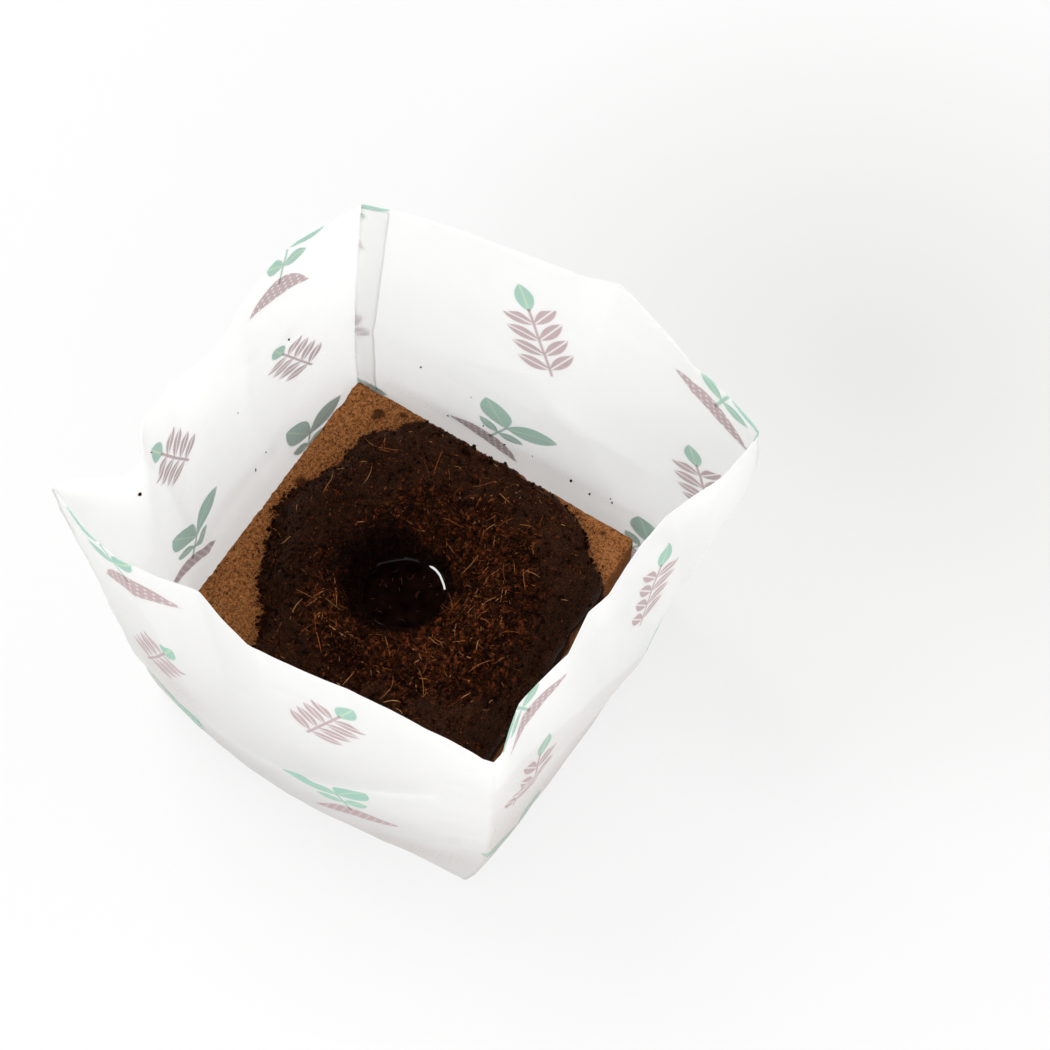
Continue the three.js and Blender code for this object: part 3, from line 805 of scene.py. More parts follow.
# %% [markdown]
# ## The base
# Under the block a square of the same cloth closes the bag. It can't be seen while the coir is in, but it
# shows once the coir is lifted out, with coir dust pressed into it. It lies flat, a little wrinkled.

# %% Make the base cloth
BASE_CELLS = 90
BASE_TOP = 0.95
BASE_THICKNESS = 0.3
BASE_INSET = 1.2


def base_points():
    """A level square grid with small smooth wrinkles that fade out at its edges."""
    half = BASE_SIDE / 2 - BASE_INSET
    ticks = np.linspace(-half, half, BASE_CELLS + 1)
    y, x = np.meshgrid(ticks, ticks, indexing="ij")
    flat = np.stack([x, y, np.zeros(x.shape)], axis=-1)
    fade = smooth_rise((half - np.maximum(np.abs(x), np.abs(y))) / 12)
    flat[..., 2] = BASE_TOP - 0.12 * fade * np.abs(layered_noise(flat, 34, 41))
    return flat


base = base_points()
base_dust = 0.75 * smooth_rise(0.5 + layered_noise(base, 40, 47)) + 0.2
base_uv = (base[..., :2] + (BASE_SIDE / 2, -BASE_SIDE)) * MM
base_cloth = make_piece(
    "base_cloth", base, grid_faces(BASE_CELLS + 1, BASE_CELLS + 1), "bag", cloth_finish,
    {"damp": 0.8 * base_dust, "dust": base_dust}, base_uv)
thickness = base_cloth.modifiers.new("thickness", "SOLIDIFY")
thickness.thickness = BASE_THICKNESS * MM
thickness.offset = -1
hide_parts("base_panel")

# %% [markdown]
# ## The mound's plan
# The mound is described on spokes from the middle of the planting hole. On each spoke it starts at the
# hole's wall, climbs its lip, crosses the top and falls at its outer edge. The outer edge is a closed curve
# through a few points, in shares of the block's half side. The height anywhere is a function of x and y, so
# that crumbs and fibres can lie on it.

# %% Work out the mound's height
block_low, block_high = [np.array(corner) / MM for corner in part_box("dry_block")]
BLOCK_CENTRE = (block_low + block_high)[:2] / 2
BLOCK_HALF = (block_high - block_low)[0] / 2
BLOCK_TOP = block_high[2]
BLOCK_BOTTOM = block_low[2]
water_low, water_high = [np.array(corner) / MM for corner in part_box("water_pool")]
HOLE_CENTRE = (water_low + water_high)[:2] / 2
HOLE_RADIUS = (water_high - water_low)[0] / 2
WATER_LEVEL = water_high[2]
MOUND_EDGE = np.array([
    (0.985, 0.2), (0.985, 0.62), (0.88, 0.79), (0.73, 0.91), (0.58, 0.975), (0.2, 0.98), (-0.18, 0.98),
    (-0.47, 0.955), (-0.62, 0.8), (-0.73, 0.59), (-0.81, 0.33), (-0.89, 0.09), (-0.9, -0.13), (-0.8, -0.36),
    (-0.69, -0.52), (-0.58, -0.61), (-0.51, -0.75), (-0.47, -0.97), (0, -0.985), (0.5, -0.985), (0.97, -0.97),
    (0.985, -0.5),
])
MOUND_RISE = 24
NEAR_EDGE_THICKNESS = 4.5
FAR_EDGE_THICKNESS = 18
EDGE_RUN = 20
FAR_EDGE_START = 0.15
FAR_EDGE_FULL = 0.85
LIP_THICKNESS = 2.5
STEEP_RUN = 8
GENTLE_RUN = 33
STEEP_DIRECTION = math.radians(170)
HOLE_OVAL = 1.5
SPILL = (1.05, 1.02)


def closed_curve(points, steps):
    """A smooth closed curve through the points: between two of them, the cubic whose slope at each point is
    half the way from the point before it to the point after it."""
    t = (np.arange(steps) / steps)[None, :, None]
    before, here, after, later = [np.roll(points, shift, axis=0)[:, None] for shift in (1, 0, -1, -2)]
    cubic = 2 * here + (after - before) * t + (2 * before - 5 * here + 4 * after - later) * t**2
    cubic = cubic + (3 * here - before - 3 * after + later) * t**3
    return (cubic / 2).reshape(-1, points.shape[-1])


near_wall = np.stack([MOUND_EDGE[:, 0] > 0.96, MOUND_EDGE[:, 1] < -0.96], axis=-1)
edge_curve = BLOCK_CENTRE + MOUND_EDGE * BLOCK_HALF * np.where(near_wall, SPILL, 1)
edge_curve = closed_curve(edge_curve, 12) - HOLE_CENTRE
edge_order = np.argsort(np.arctan2(edge_curve[:, 1], edge_curve[:, 0]))
EDGE_ANGLES = np.arctan2(edge_curve[:, 1], edge_curve[:, 0])[edge_order]
EDGE_RADII = np.hypot(edge_curve[:, 0], edge_curve[:, 1])[edge_order]


def ring_noise(angle, size, seed, layers=3):
    """Noise round a ring of 80 mm radius, which meets itself after a full turn."""
    ring = np.stack([80 * np.cos(angle), 80 * np.sin(angle), np.zeros(angle.shape)], axis=-1)
    return layered_noise(ring, size, seed, layers)


def edge_radius(angle):
    """The mound's reach from the hole's middle: the closed curve, frayed by noise, but inside the walls."""
    smooth = np.interp(angle, EDGE_ANGLES, EDGE_RADII, period=2 * np.pi)
    spot = HOLE_CENTRE + (smooth - 3)[..., None] * np.stack([np.cos(angle), np.sin(angle)], axis=-1)
    room = BLOCK_HALF - np.abs(spot - BLOCK_CENTRE).max(axis=-1)
    fray = 0.9 + 0.8 * np.clip(room - 2, 0, 3)
    return smooth - 0.8 * fray + fray * (ring_noise(angle, 13, 51) + 0.4 * ring_noise(angle, 4, 55, 1))


def hole_radius(angle):
    """The hole's reach at water level: longer from left to right, uneven, and inside the pit in the block."""
    oval = HOLE_OVAL * np.cos(2 * (angle - CAMERA_AZIMUTH))
    reach = HOLE_RADIUS - 1.2 + oval + 0.9 * ring_noise(angle, 40, 57) + 0.9 * ring_noise(angle, 11, 61)
    return np.minimum(reach, HOLE_RADIUS - 0.2)


def mound_height(x, y):
    """The height of the mound's top: a lip at the hole, steep on one side and gentle on the other, then a
    flat rise with lumps, thick at the far edge, rounded off where it meets the block."""
    east, north = x - HOLE_CENTRE[0], y - HOLE_CENTRE[1]
    angle = np.arctan2(north, east)
    reach = np.hypot(east, north)
    from_hole = reach - hole_radius(angle)
    from_edge = edge_radius(angle) - reach
    steepness = (1 + np.cos(angle - STEEP_DIRECTION)) / 2
    run = (GENTLE_RUN + (STEEP_RUN - GENTLE_RUN) * steepness) * (1 + 0.3 * ring_noise(angle, 45, 63))
    farness = smooth_rise((np.sin(angle) - FAR_EDGE_START) / (FAR_EDGE_FULL - FAR_EDGE_START))
    edge = NEAR_EDGE_THICKNESS + (FAR_EDGE_THICKNESS - NEAR_EDGE_THICKNESS) * farness
    full = edge + (MOUND_RISE - edge) * smooth_rise(from_edge / EDGE_RUN)
    flat = np.stack([x, y, np.zeros(x.shape)], axis=-1)
    lumps = 1.9 * layered_noise(flat, 26, 71, 2) + 1.2 * layered_noise(flat, 8, 75, 2)
    thickness = LIP_THICKNESS + (full + lumps - LIP_THICKNESS) * smooth_rise(from_hole / run)
    thickness = thickness + 1.3 * layered_noise(flat, 11, 77) * smooth_rise(from_hole / 5)
    rounding = 2 + 3 * farness
    drop = 1 - np.clip(from_edge / rounding, 0, 1)
    return BLOCK_TOP + thickness * np.sqrt(np.maximum(1 - drop**2, 0))


print(f"mound reaches from {EDGE_RADII.min():.0f} to {EDGE_RADII.max():.0f} mm from the hole's middle")

# %% [markdown]
# ## The dry block
# The block is coir pith, pressed hard. Its faces are flat but granular, its edges crumble, and where it meets
# the wet mound it has drawn up water and turned dark. It is one closed surface: a profile that runs from the
# middle of the underside, up the side, over the top and down into the hole, carried round the block. Round
# the outside it is a square with rounded corners, and at the hole a circle.

# %% Make the dry block's shape
BLOCK_COLUMNS = 640
BLOCK_CORNER_RADIUS = 2.5
PIT_RADIUS = 25
PIT_DEPTH = 24
GRAIN_SIZE = 2.4
GRAIN_DEPTH = 0.6
GRAIN_RISE = 0.6
CORNER_BULGE = 3
# Middles and radii in mm of clots of dark pith in the block's face
DARK_SPOTS = (((-72, 82), 3.0), ((-84, 24), 2.4), ((-60, 88), 1.2), ((-88, 2), 1.3), ((72, 88), 1.4))


def rounded_square(angle, half, radius):
    """A square with round corners, as x and y for each angle: the square's edge, with the part past the
    corner's centre pulled back onto a circle."""
    direction = np.stack([np.cos(angle), np.sin(angle)], axis=-1)
    square = direction / np.abs(direction).max(axis=-1, keepdims=True) * half
    inner = np.clip(square, -(half - radius), half - radius)
    over = square - inner
    length = np.linalg.norm(over, axis=-1, keepdims=True)
    return inner + over / np.maximum(length, 1e-9) * np.minimum(length, radius)


def block_points():
    """Rows from the underside's middle round to the hole's floor. Each row mixes the square outline with a
    circle round the hole: side is 1 on the outline and 0 at the row's middle."""
    angle = np.linspace(0, 2 * np.pi, BLOCK_COLUMNS, endpoint=False)
    square = BLOCK_CENTRE + rounded_square(angle, BLOCK_HALF, BLOCK_CORNER_RADIUS)
    circle = HOLE_CENTRE + PIT_RADIUS * np.stack([np.cos(angle), np.sin(angle)], axis=-1)
    rows = []
    for share in np.linspace(0.02, 0.98, 12):
        rows.append((HOLE_CENTRE * (1 - share) + square * share, BLOCK_BOTTOM))
    for share in np.linspace(0, 1, 34):
        rows.append((square, BLOCK_BOTTOM + (BLOCK_TOP - BLOCK_BOTTOM) * share))
    for share in np.linspace(0, 1, 70)[1:]:
        rows.append((square * (1 - share) + circle * share, BLOCK_TOP))
    for share in np.linspace(0, 1, 9)[1:]:
        rows.append((circle, BLOCK_TOP - PIT_DEPTH * share))
    rows.append((HOLE_CENTRE + (circle - HOLE_CENTRE) * 0.3, BLOCK_TOP - PIT_DEPTH))
    return np.stack([np.column_stack([level, np.full(len(angle), height)]) for level, height in rows])


def crumble_block(points):
    """Sinks the surface between its grains and in slow waves, wears its upper edges where noise is high, and
    lets the right corner stand out a little."""
    normals = grid_normals(points, wrap_columns=True)
    grains = grain_noise(points, GRAIN_SIZE, 81)
    waves = layered_noise(points, 16, 85, 4)
    from_side = BLOCK_HALF - np.abs(points[..., :2] - BLOCK_CENTRE).max(axis=-1)
    from_top = np.abs(BLOCK_TOP - points[..., 2])
    edge = np.maximum(np.clip(1 - from_side / 5, 0, 1) * np.clip(1 - from_top / 5, 0, 1), 0)
    chips = edge * (0.5 + 1.2 * np.maximum(layered_noise(points, 7, 91), 0))
    sunk = GRAIN_DEPTH * (1 - grains) + 0.25 * np.abs(waves) + chips - GRAIN_RISE
    points = points - normals * sunk[..., None]
    bulge = smooth_rise((points[..., 0] - 30) / 50) * smooth_rise((points[..., 1] + 20) / 70)
    points[..., 0] += CORNER_BULGE * bulge
    return points


block = crumble_block(block_points())
block_reach = np.hypot(*(block[..., :2] - HOLE_CENTRE).transpose(2, 0, 1))
block_angle = np.arctan2(block[..., 1] - HOLE_CENTRE[1], block[..., 0] - HOLE_CENTRE[0])
beyond_edge = block_reach - edge_radius(block_angle) - 1.6 * layered_noise(block, 7, 95)
soaked_down_to = BLOCK_TOP - 34 + 9 * layered_noise(block, 22, 97)
block_wet = (1 - smooth_rise((beyond_edge - 0.4) / 1.6)) * smooth_rise((block[..., 2] - soaked_down_to) / 7)
for middle, radius in DARK_SPOTS:
    distance = np.linalg.norm(block - (*middle, BLOCK_TOP), axis=-1) + 1.2 * layered_noise(block, 3, 99)
    block_wet = np.maximum(block_wet, 0.8 * (1 - smooth_rise((distance - radius) / 1.2)))
block_points_closed, block_faces = with_poles(block, grid_faces(len(block), BLOCK_COLUMNS, wrap_columns=True))
block_wet = np.concatenate([block_wet.ravel(), [0, 1]])
# 1 on the block's sides, where the finish paints them darker as shade
block_sides_shaded = smooth_rise((BLOCK_TOP - 0.5 - block_points_closed[:, 2]) / 2.5)
print("block grid", block.shape[:2])

# %% [markdown]
# ## Coir finishes
# Coir is a mix: fine brown pith, paler short fibres and dark specks. The dry finish is matt and warm. On
# the block's sides the pith is darker, in level layers from the press, and this darker colour is also painted
# shade, so that the sides stay darker than the lit top. The wet one is nearly black, with red-brown bits, and
# shines a little. Both get their small grains from noise at a few sizes, in colour and in bump.

# %% Make the coir finishes
def dry_coir_look():
    """Warm matt brown pith with short pale fibres, dark specks, darker sides in level layers that are partly
    painted shade, and a damp edge.
    """
    look = Finish("dry coir")
    place = look.add("TexCoord", {}, {}, output=3)
    fine = look.noise(place, 600, 4, 0.85)
    patches = look.noise(place, 28, 3, 0.6)
    strands = look.noise(place, 420, 2, 0.6, 6)
    specks = look.noise(place, 620, 2, 0.5)
    pith = look.mix((0.080, 0.024, 0.008), (0.56, 0.200, 0.060), ((fine - 0.41) * 6).clamp())
    pith = look.mix(pith, (0.40, 0.150, 0.048), ((patches - 0.45) * 2).clamp() * 0.4)
    pith = look.mix(pith, (0.76, 0.40, 0.17), strands.above(0.585, 0.05) * 0.6)
    pith = look.mix(pith, (0.07, 0.020, 0.007), (1 - specks.above(0.36, 0.05)) * 0.3)
    # Painted shade on the block's sides: darker, in level layers from the press
    pressed = look.add("Attribute", {"attribute_name": "pressed"}, {}, output=2)
    flat_place = look.add("VectorMath", {"operation": "MULTIPLY"}, {0: place, 1: (1, 1, 6)})
    layers = look.noise(flat_place, 55, 4, 0.65, 0.6)
    pith = look.mix(pith, (0.13, 0.048, 0.018), (pressed * (0.34 + (layers - 0.42) * 1.6)).clamp())
    wet = look.add("Attribute", {"attribute_name": "wet"}, {}, output=2)
    pith = look.mix(pith, (0.030, 0.011, 0.005), (wet * 1.15 - 0.1).clamp())
    normal = look.bump(fine * 0.8 + strands * 0.5, 0.0015, 1)
    matt = look.add("BsdfPrincipled", {}, {
        "Base Color": pith, "Roughness": 0.95, "Specular IOR Level": 0.03, "Normal": normal})
    return look.finish(matt)


def wet_coir_look():
    """Dark wet pith with red-brown bits. tone is a number per point from 0, black, to 1, pale, and packed is
    1 where the pith is fine and even."""
    look = Finish("wet coir")
    place = look.add("TexCoord", {}, {}, output=3)
    fine = look.noise(place, 1100, 4, 0.7)
    bits = look.noise(place, 380, 2, 0.6, 2)
    strands = look.noise(place, 460, 2, 0.6, 7)
    tone = look.add("Attribute", {"attribute_name": "tone"}, {}, output=2)
    pale = (0.29, 0.062, 0.014)
    brown_share = ((fine - 0.40) * 4.4 * (tone + 0.12)).clamp()
    pith = look.mix((0.0045, 0.0017, 0.0009), (0.074, 0.0190, 0.0058), brown_share)
    pith = look.mix(pith, pale, (bits.above(0.64, 0.07) * (tone * 0.9 + 0.05)).clamp())
    pith = look.mix(pith, (0.38, 0.13, 0.036), (strands.above(0.635, 0.04) * (tone * 1.2 - 0.1)).clamp())
    pith = look.mix(pith, pale, tone.above(0.82, 0.3) * 0.7)
    packed = look.add("Attribute", {"attribute_name": "packed"}, {}, output=2)
    even = look.mix((0.009, 0.0038, 0.0020), (0.078, 0.031, 0.0150), ((fine - 0.37) * 3.2).clamp())
    even = look.mix(even, pale, bits.above(0.74, 0.06) * 0.5)
    pith = look.mix(pith, even, packed * 0.85)
    normal = look.bump(fine + bits * 0.6, 0.0016, 1)
    damp_skin = look.add("BsdfPrincipled", {}, {
        "Base Color": pith, "Roughness": 0.5, "Specular IOR Level": 0.04, "Normal": normal})
    return look.finish(damp_skin)


dry_coir = dry_coir_look()
wet_coir = wet_coir_look()

# %% Make the dry block
dry_block = make_piece(
    "pressed_block", block_points_closed, block_faces, "coir_fill", dry_coir,
    {"wet": block_wet, "pressed": block_sides_shaded})
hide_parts("dry_block")

# %% [markdown]
# ## The wet mound
# Its surface is one closed ring: up the hole's wall, over the lip, across the lumpy top, down the outer edge
# and back underneath. Grains are pushed out along the surface's own direction, so the steep wall of the hole
# is as crumbly as the top. Near the water the pith is soaked and black. On the hole's steep side the black
# reaches further out, as painted shade of the steep wall.

# %% Make the wet mound
MOUND_COLUMNS = 560
TOP_ROWS = 150
WALL_ROWS = 14
LOOSE_LEAST = 14
LOOSE_MOST = 54
LOOSE_DIRECTION = math.radians(-8)
SOAKED_LEAST = 3
# On the hole's steep side the dark reaches further: wet pith and painted shade of the steep wall
SOAKED_AND_SHADED_MOST = 18
SHADED_SIDE_DIRECTION = math.radians(190)


def mound_points():
    """Rows round the hole: its wall from below the water to the lip, then the top at even steps to the edge,
    then a short drop, and back under the mound."""
    angle = np.linspace(0, 2 * np.pi, MOUND_COLUMNS, endpoint=False)
    direction = np.stack([np.cos(angle), np.sin(angle)], axis=-1)
    inner, outer = hole_radius(angle), edge_radius(angle)
    foot = WATER_LEVEL - 6
    rows = []
    for share in np.linspace(0, 1, WALL_ROWS)[:-1]:
        level = HOLE_CENTRE + direction * (inner - 1.5 + 1.5 * share)[:, None]
        rows.append(np.column_stack([level, np.full(len(angle), foot + (BLOCK_TOP - foot) * share)]))
    for share in np.linspace(0, 1, TOP_ROWS):
        level = HOLE_CENTRE + direction * (inner + (outer - inner) * share)[:, None]
        rows.append(np.column_stack([level, mound_height(level[:, 0], level[:, 1])]))
    for share in (0.999, 0.66, 0.33, 0):
        level = HOLE_CENTRE + direction * (inner - 1.5 + (outer - inner) * share)[:, None]
        rows.append(np.column_stack([level, np.full(len(angle), BLOCK_TOP - 0.6)]))
    return np.stack(rows)


def looseness(x, y):
    """1 where the pith is stirred up and 0 where it is even: a ring round the hole, narrow behind it and
    wide towards the right and the near side, with a noisy edge."""
    east, north = x - HOLE_CENTRE[0], y - HOLE_CENTRE[1]
    angle = np.arctan2(north, east)
    wide = LOOSE_LEAST + (LOOSE_MOST - LOOSE_LEAST) * (1 + np.cos(angle - LOOSE_DIRECTION)) / 2
    noisy = 9 * layered_noise(np.stack([x, y, 0 * x], axis=-1), 24, 119)
    return 1 - smooth_rise((np.hypot(east, north) - hole_radius(angle) - wide + noisy) / 14 + 0.5)


def soaked_and_shaded(x, y):
    """1 at the hole's edge, falling to 0 within a few millimetres, where the pith is soaked, and further out
    on the steep side, where it adds painted shade of the hole's steep wall.
    """
    east, north = x - HOLE_CENTRE[0], y - HOLE_CENTRE[1]
    angle = np.arctan2(north, east)
    steepness = (1 + np.cos(angle - SHADED_SIDE_DIRECTION)) / 2
    wide = SOAKED_LEAST + (SOAKED_AND_SHADED_MOST - SOAKED_LEAST) * steepness**2
    noisy = 1 + 0.35 * layered_noise(np.stack([x, y, 0 * x], axis=-1), 9, 121)
    return 1 - smooth_rise(1.7 * (np.hypot(east, north) - hole_radius(angle)) / (wide * noisy) - 0.7)


def crumb_the_mound(points):
    """Pushes grains of two sizes out of the part of the surface that shows. Returns the points, how pale
    each is, and how evenly the pith lies there."""
    normals = -grid_normals(points, wrap_columns=True)
    coarse = grain_noise(points, 5.2, 101)
    fine = grain_noise(points, 2.4, 107)
    shown = np.zeros(len(points))
    shown[:WALL_ROWS + TOP_ROWS - 2] = 1
    loose = looseness(points[..., 0], points[..., 1])
    deep = smooth_rise((points[..., 2] - WATER_LEVEL) / 9)
    push = (2.2 * coarse**1.4 + 1.7 * fine - 1.7) * (0.55 + 0.75 * loose) * (0.4 + 0.6 * deep)
    # Dark where wet, and with painted shade by the hole's steep wall
    wetness_and_shade = soaked_and_shaded(points[..., 0], points[..., 1])
    tone = 0.02 + 0.75 * fine**1.3 + 0.35 * coarse + 0.25 * layered_noise(points, 30, 113, 2)
    tone = np.clip(tone, 0, 1) * (0.2 + 0.8 * deep) * (1 - 0.85 * wetness_and_shade)
    return points + normals * (push * shown[:, None])[..., None], tone, (1 - loose) * (1 - wetness_and_shade)


mound, mound_tone, mound_packed = crumb_the_mound(mound_points())
mound_faces = grid_faces(len(mound), MOUND_COLUMNS, wrap_columns=True, wrap_rows=True)[:, ::-1]
wet_mound = make_piece(
    "wet_coir_mound", mound, mound_faces, "coir_fill", wet_coir,
    {"tone": mound_tone, "packed": mound_packed})
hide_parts("wet_mound")

# %% [markdown]
# ## Crumbs
# Loose pith lies on the mound in crumbs of one to three millimetres, with finer grit between them. A crumb is
# a squashed, turned ball of twenty faces, and a bit of grit has eight. Numpy makes them all at once, from one
# ball and a list of places. Some have fallen off the mound's edge onto the dry block, and a few cling to the
# inside of the far walls.

# %% Make the crumbs
draw = np.random.default_rng(7)


def regular_ball(points, edge):
    """A regular ball's points, at a distance of 1, and its triangles: each three points whose distances are
    the edge, in the order that faces outwards."""
    points = np.array(points, float)
    points = points / np.linalg.norm(points[0])
    near = np.linalg.norm(points[:, None] - points[None], axis=-1) < edge * 1.05
    faces = [[a, b, c] for a, b, c in itertools.combinations(range(len(points)), 3)
             if near[a, b] and near[b, c] and near[a, c]]
    turned = [np.linalg.det(points[face]) < 0 for face in faces]
    return points, np.array([face[::-1] if inward else face for face, inward in zip(faces, turned)])


GOLDEN = (1 + math.sqrt(5)) / 2
rectangle = [(x, y * GOLDEN) for x in (-1, 1) for y in (-1, 1)]
twelve_points = [(x, y, 0) for x, y in rectangle] + [(0, x, y) for x, y in rectangle]
twelve_points = twelve_points + [(y, 0, x) for x, y in rectangle]
six_points = [(1, 0, 0), (-1, 0, 0), (0, 1, 0), (0, -1, 0), (0, 0, 1), (0, 0, -1)]
BALL_OF_TWENTY = regular_ball(twelve_points, 1.0515)
BALL_OF_EIGHT = regular_ball(six_points, math.sqrt(2))


def random_turns(count):
    """A random turn for each of count pieces: three square directions from two random ones."""
    first = draw.normal(size=(count, 3))
    first /= np.linalg.norm(first, axis=-1, keepdims=True)
    third = np.cross(first, draw.normal(size=(count, 3)))
    third /= np.linalg.norm(third, axis=-1, keepdims=True)
    return np.stack([first, np.cross(third, first), third], axis=1)


def scattered_balls(ball, places, radii):
    """One squashed, turned and roughened ball at each place. Returns all points and all faces."""
    ball_points, faces = ball
    squash = 0.45 + 0.9 * draw.random((len(places), 1, 3))
    rough = 1 + 0.2 * draw.normal(size=(len(places), len(ball_points), 1))
    shapes = np.einsum("nij,nkj->nki", random_turns(len(places)), ball_points * squash * rough)
    points = places[:, None] + shapes * radii[:, None, None]
    all_faces = faces[None] + len(ball_points) * np.arange(len(places))[:, None, None]
    return points.reshape(-1, 3), all_faces.reshape(-1, 3)


def spots_on_mound(count, pull=0.0):
    """Random spots on the mound's top, with the share of the way to its edge. pull draws them to the hole."""
    angle = 2 * np.pi * draw.random(count)
    share = draw.random(count) ** (0.62 + pull)
    inner, outer = hole_radius(angle), edge_radius(angle)
    reach = inner + (outer - inner) * share
    level = HOLE_CENTRE + reach[:, None] * np.stack([np.cos(angle), np.sin(angle)], axis=-1)
    return level, share


def spots_past_edge(count, spread):
    """Random spots on the dry block's face, most of them close to the mound's edge."""
    angle = 2 * np.pi * draw.random(count)
    reach = edge_radius(angle) + spread * np.abs(draw.normal(size=count)) ** 1.6
    level = HOLE_CENTRE + reach[:, None] * np.stack([np.cos(angle), np.sin(angle)], axis=-1)
    return level[np.abs(level - BLOCK_CENTRE).max(axis=-1) < BLOCK_HALF - 2]


def make_crumbs(name, ball, tries, least, smallest, largest, spilled, spread, pale_share):
    """Crumbs on the loose parts of the mound, fewer on its even parts, and some spilled onto the block."""
    level, _ = spots_on_mound(tries)
    chance = least + (1 - least) * looseness(level[:, 0], level[:, 1])
    level = level[draw.random(tries) < chance]
    fallen = spots_past_edge(spilled, spread)
    radius = smallest + (largest - smallest) * draw.random(len(level) + len(fallen)) ** 2.2
    height = np.concatenate([mound_height(level[:, 0], level[:, 1]) + 0.25, np.full(len(fallen), BLOCK_TOP)])
    places = np.column_stack([np.concatenate([level, fallen]), height + 0.3 * radius])
    points, faces = scattered_balls(ball, places, radius)
    pale = (draw.random(len(places)) < pale_share) & (radius < PALE_CRUMB_LARGEST)
    tone = np.clip(0.75 * draw.random(len(places)) ** 1.3 + 0.6 * pale, 0, 1)
    # Darker where soaked, and by the hole's steep wall with painted shade
    tone = np.repeat(tone * (1 - 0.9 * soaked_and_shaded(places[:, 0], places[:, 1])), len(ball[0]))
    return make_piece(name, points, faces, "coir_fill", wet_coir, {"tone": tone})


PALE_CRUMB_LARGEST = 0.85
make_crumbs("wet_crumbs", BALL_OF_TWENTY, 12500, 0.22, 0.4, 1.6, 1900, 1.1, 0.12)
# Crumbs that cling to the far walls, as (across, height, radius in mm)
STRAY_CRUMBS = np.array([
    (0.35, 74, 0.9), (0.29, 72, 0.8), (0.24, 82, 0.6), (0.23, 78, 0.6), (1.41, 74, 0.9), (0.81, 119, 0.5),
    (1.86, 212, 1.1), (1.42, 145, 0.5), (1.76, 212, 0.6), (1.22, 164, 0.8), (0.67, 110, 0.4), (1.36, 80, 0.6),
    (0.55, 76, 0.7), (0.62, 84, 0.4), (0.72, 75, 0.6), (0.47, 79, 0.5),
])
stray_places = cloth_points(STRAY_CRUMBS[:, 0], STRAY_CRUMBS[:, 1])
to_axis = stray_places[:, :2] / np.linalg.norm(stray_places[:, :2], axis=-1, keepdims=True)
stray_places[:, :2] -= 1.2 * STRAY_CRUMBS[:, 2:] * to_axis
stray_points, stray_faces = scattered_balls(BALL_OF_TWENTY, stray_places, STRAY_CRUMBS[:, 2])
stray_tone = np.full(len(stray_points), 0.4)
make_piece("stray_crumbs", stray_points, stray_faces, "bag", wet_coir, {"tone": stray_tone})
make_crumbs("wet_grit", BALL_OF_EIGHT, 22000, 0.45, 0.25, 0.75, 3600, 2.6, 0.2)

# %% [markdown]
# ## Fibres
# Coconut fibres are stiff and springy. Most are splinters of a few millimetres, and some are slight arcs of
# up to seventeen, which cross each other and lift at their ends. They catch the light, from dark red-brown to
# straw. Each is a path on the mound with a small steady bend, and a thin three-sided tube round it. They lie
# thickest to the right of the hole and below it.

# %% Make the fibres
# Middles from the hole's, reaches in mm, and strengths
FIBRE_PATCHES = (
    ((39, 5), (17, 17), 0.6), ((-18, -38), (12, 13), 0.8), ((37, -28), (20, 15), 0.5),
    ((26, 44), (26, 20), 0.25),
)
FIBRE_LEAST = 0.06
FIBRE_LOOSE = 0.14


def fibre_paths(level, length, bend, lift, steps):
    """Paths of points over the mound: the heading turns evenly along each path, and its height is the mound's
    under it plus an arch that is highest in the middle, and a lifted end."""
    count = len(level)
    along = np.linspace(-0.5, 0.5, steps)
    heading = 2 * np.pi * draw.random((count, 1)) + bend[:, None] * along
    step = np.stack([np.cos(heading), np.sin(heading)], axis=-1) * (length / (steps - 1))[:, None, None]
    track = np.cumsum(step, axis=1)
    track = level[:, None] + track - track[:, steps // 2][:, None]
    ground = mound_height(track[..., 0], track[..., 1])
    smoothed = np.maximum(ground, ground.mean(axis=1, keepdims=True) - 0.6)
    arch = lift[:, None] * (1 - (2 * along) ** 2) + lift[:, None] * 0.8 * np.maximum(along - 0.2, 0) ** 2 * 8
    return np.concatenate([track, (smoothed + 0.35 + arch)[..., None]], axis=-1)


def thin_tubes(paths, radii):
    """Three-sided tubes along the paths, half as thick at their ends. Each ring of points stands square to
    its path, in the directions sideways and up from it."""
    count, steps = paths.shape[:2]
    run = np.gradient(paths, axis=1)
    run /= np.linalg.norm(run, axis=-1, keepdims=True)
    sideways = np.cross(run, (0, 0, 1))
    sideways /= np.maximum(np.linalg.norm(sideways, axis=-1, keepdims=True), 1e-6)
    up = np.cross(sideways, run)
    taper = 0.5 + 0.5 * np.sin(np.pi * np.linspace(0, 1, steps))
    turn = 2 * np.pi * np.arange(3) / 3
    ring = sideways[:, :, None] * np.cos(turn)[:, None] + up[:, :, None] * np.sin(turn)[:, None]
    points = paths[:, :, None] + ring * (radii[:, None] * taper)[:, :, None, None]
    tube = grid_faces(steps, 3, wrap_columns=True)
    last = 3 * (steps - 1)
    ends = [[2, 1, 0], [last, last + 1, last + 2]]
    shift = 3 * steps * np.arange(count)[:, None, None]
    quads = (tube[None] + shift).reshape(-1, 4)
    caps = (np.array(ends)[None] + shift).reshape(-1, 3)
    return points.reshape(-1, 3), quads.tolist() + caps.tolist()


